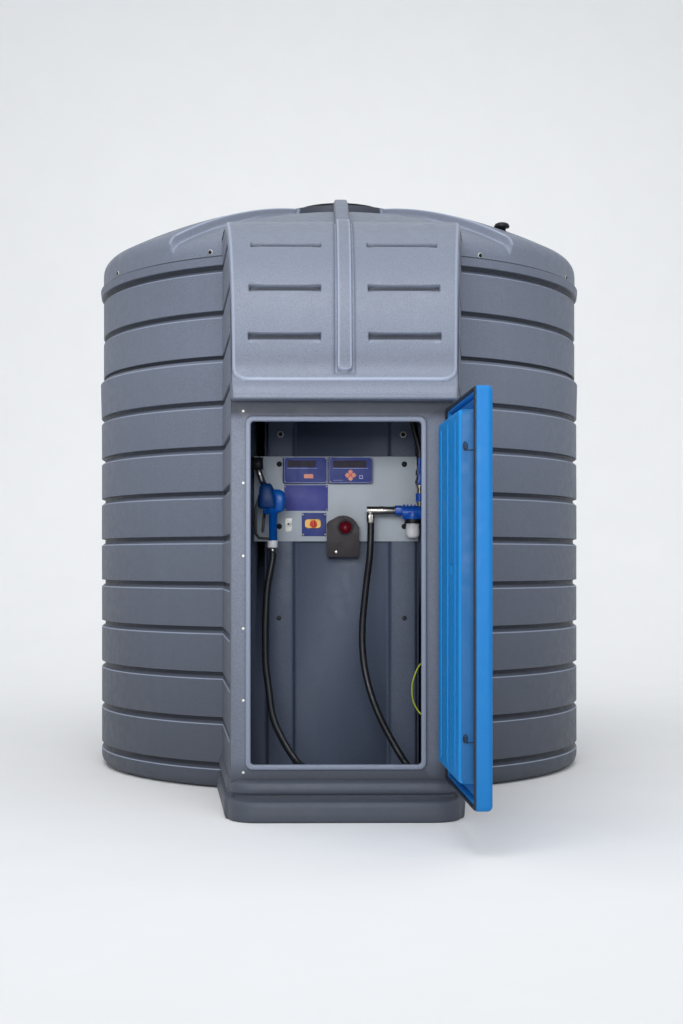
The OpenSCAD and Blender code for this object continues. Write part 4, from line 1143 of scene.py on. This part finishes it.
def panel_pieces(materials):
    plate_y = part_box("info_plate")[0][1]
    for k, (x, z) in enumerate(((-214, 1052), (-58, 1052), (-214, 1139), (-58, 1139))):
        screw("plate_screw_%d" % k, x, z, plate_y, 3.4, materials["steel"], 12)
    switch_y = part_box("switch_plate")[0][1]
    for k, (x, z) in enumerate(((-147, 957), (-64, 957), (-147, 1033), (-64, 1033))):
        screw("switch_screw_%d" % k, x, z, switch_y, 4.6, materials["steel"], 6)
    facing("switch_yellow", round_box(-140, -80, 981, 1015, 11.0, 6), switch_y, 0.008, materials["yellow"],
           0.0015, ["switch_base"])
    key_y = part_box("key_switch")[0][1]
    turned("key_hole", -202, 997, key_y, [(4.2, -1), (4.2, 0.3), (3.6, 0.6), (0.3, 0.6)], materials["black"])
    for k, (x, z) in enumerate(((237, 1224), (-237, 1224), (237, 988), (-237, 988))):
        turned("grommet_%d" % k, x, z, PLATE_Y, [(10.5, -0.4), (10.5, 2.0), (9.0, 4.0), (6.5, 5.0), (6.5, 7.0),
                                                 (5.0, 8.2), (0.5, 8.6)], materials["black"], 18)
    alarm_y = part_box("alarm_housing")[0][1]
    shoulder = [(-57, 980), (-57, 998), (-50, 1005), (-30, 1016), (-8, 1023), (0, 1024), (0, 980)]
    facing("alarm_shoulder", [(a * MM, b * MM) for a, b in shoulder], PLATE_Y, PLATE_Y - alarm_y - 0.006,
           materials["alarm"], 0.003)
    ring = [(30.0, -0.4), (30.0, 2.0), (28.0, 3.6), (24.5, 3.6), (24.0, 1.0), (23.0, 0.5)]
    turned("lens_ring", 12, 982, alarm_y, ring, materials["alarm"], 36)
    turned("alarm_lock", -22, 891, alarm_y, [(6.5, -0.4), (6.5, 0.8), (5.5, 1.4), (0.5, 1.5)], materials["steel"], 18)
    for k in range(6):
        x = 230 + 13.5 * k
        loops = [[((x + r * math.cos(a)) * MM, -0.975 + r * math.sin(a) * MM, z * MM)
                  for a in (math.radians(30 * m) for m in range(12))] for r, z in ((3.6, 1058), (3.6, 1065),
                                                                                    (2.6, 1067), (0.4, 1067.4))]
        loops_object("filter_stud_%d" % k, loops, "tank", materials["fitting"])
    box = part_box("pipe_fittings")
    cx, cy = 0.5 * (box[0][0] + box[1][0]), 0.5 * (box[0][1] + box[1][1])
    loops = [[(cx + r * math.cos(a), cy + r * math.sin(a), z) for a in (math.radians(15 * m) for m in range(24))]
             for r, z in ((0.0140, 1.077), (0.0146, 1.079), (0.0146, 1.106), (0.0140, 1.108))]
    loops_object("union_sleeve", loops, "tank", materials["fitting"])


def cabinet_pieces(materials):
    for k, (x, z) in enumerate(((-233, 1337), (233, 1337))):
        turned("insert_%d" % k, x, z, RECESS_Y, [(14.0, -0.4), (14.0, 3.0), (12.5, 4.2), (9.0, 4.2), (8.2, 1.5)],
               materials["zinc"], 6)
        turned("insert_hole_%d" % k, x, z, RECESS_Y, [(8.4, 1.0), (8.4, 3.6), (7.4, 3.9), (0.4, 3.9)],
               materials["black"], 18)
    for k, x in enumerate((-238, 238)):
        turned("recess_plug_%d" % k, x, 640, RECESS_Y, [(9.0, -0.4), (9.0, 1.0), (8.0, 1.8), (0.5, 1.8)],
               materials["black"], 18)
    for k, z in enumerate((1354, 1115, 873, 632, 393, 154)):
        turned("flange_screw_%d" % k, -337, z, FRONT_Y, [(4.6, -0.4), (4.6, 0.15), (4.2, 0.3), (0.4, 0.35)],
               materials["zinc"], 12)


# Light, floor and backdrop

def area_light(name, place, aim, size, power, spread):
    data = bpy.data.lights.new(name, "AREA")
    data.shape = "RECTANGLE"
    data.size = size[0]
    data.size_y = size[1]
    data.energy = power
    data.spread = math.radians(spread)
    lamp = bpy.data.objects.new(name, data)
    lamp.location = place
    lamp.rotation_euler = (Vector(aim) - Vector(place)).to_track_quat("-Z", "Y").to_euler()
    lamp.visible_camera = False
    bpy.context.scene.collection.objects.link(lamp)


def studio():
    scene = bpy.context.scene
    scene.view_settings.view_transform = "Standard"
    world = bpy.data.worlds.new("world")
    world.use_nodes = True
    tree = world.node_tree
    way = tree.nodes.new("ShaderNodeTexCoord")
    split = tree.nodes.new("ShaderNodeSeparateXYZ")
    tree.links.new(way.outputs["Generated"], split.inputs["Vector"])
    aside = tree.nodes.new("ShaderNodeMath")
    aside.operation = "ABSOLUTE"
    tree.links.new(split.outputs["X"], aside.inputs[0])
    level = tree.nodes.new("ShaderNodeMapRange")
    for key, value in (("From Min", 0.25), ("From Max", 0.95), ("To Min", 0.96), ("To Max", 0.42)):
        level.inputs[key].default_value = value
    tree.links.new(aside.outputs[0], level.inputs["Value"])
    tree.nodes["Background"].inputs["Color"].default_value = (0.93, 0.96, 1.0, 1.0)
    tree.links.new(level.outputs["Result"], tree.nodes["Background"].inputs["Strength"])
    scene.world = world
    area_light("sky", (-0.6, -4.6, 6.4), (0.0, -1.2, 1.2), (4.5, 3.0), 84.0, 120.0)
    area_light("front", (-0.5, -7.8, 1.75), (0.0, -1.0, 1.15), (2.4, 1.2), 12.2, 42.0)
    area_light("backdrop", (0.0, 2.2, 5.2), (0.0, 7.0, 2.4), (9.0, 1.5), 60.0, 150.0)
    rows = []
    for i in range(25):
        if i < 12:
            y, z = -14.0 + 18.0 * i / 12, 0.0
        else:
            a = math.radians(90.0 * min(i - 12, 8) / 8)
            y, z = 4.0 + 3.0 * math.sin(a), 3.0 * (1.0 - math.cos(a))
            if i > 20:
                z = 3.0 + 2.5 * (i - 20)
        rows.append([(-16.0 + 32.0 * j / 8, y, z) for j in range(9)])
    mesh = from_grid("studio_floor", rows)
    floor = bpy.data.objects.new("studio_floor", mesh)
    scene.collection.objects.link(floor)
    n = Nodes("studio_floor")
    n.set(Base_Color=n.mix(n.noise(3.0, 5.0), (0.83, 0.83, 0.83, 1.0), (0.87, 0.87, 0.87, 1.0)),
          Roughness=0.8, Normal=n.bump(n.noise(180.0, 3.0), 0.08, 0.001))
    mesh.materials.append(n.material)
    mesh.shade_smooth()


make_camera()
materials = make_materials()
cords(materials)
finish_nodes(materials)
tank_wall(materials)
cabinet_side_walls(materials)
hood(materials)
roof(materials)
base_moulding(materials)
door_shell(materials)
door_liner(materials)
nozzle_head(materials)
door_seal(materials)
latches(materials)
displays(materials)
panel_pieces(materials)
cabinet_pieces(materials)
studio()
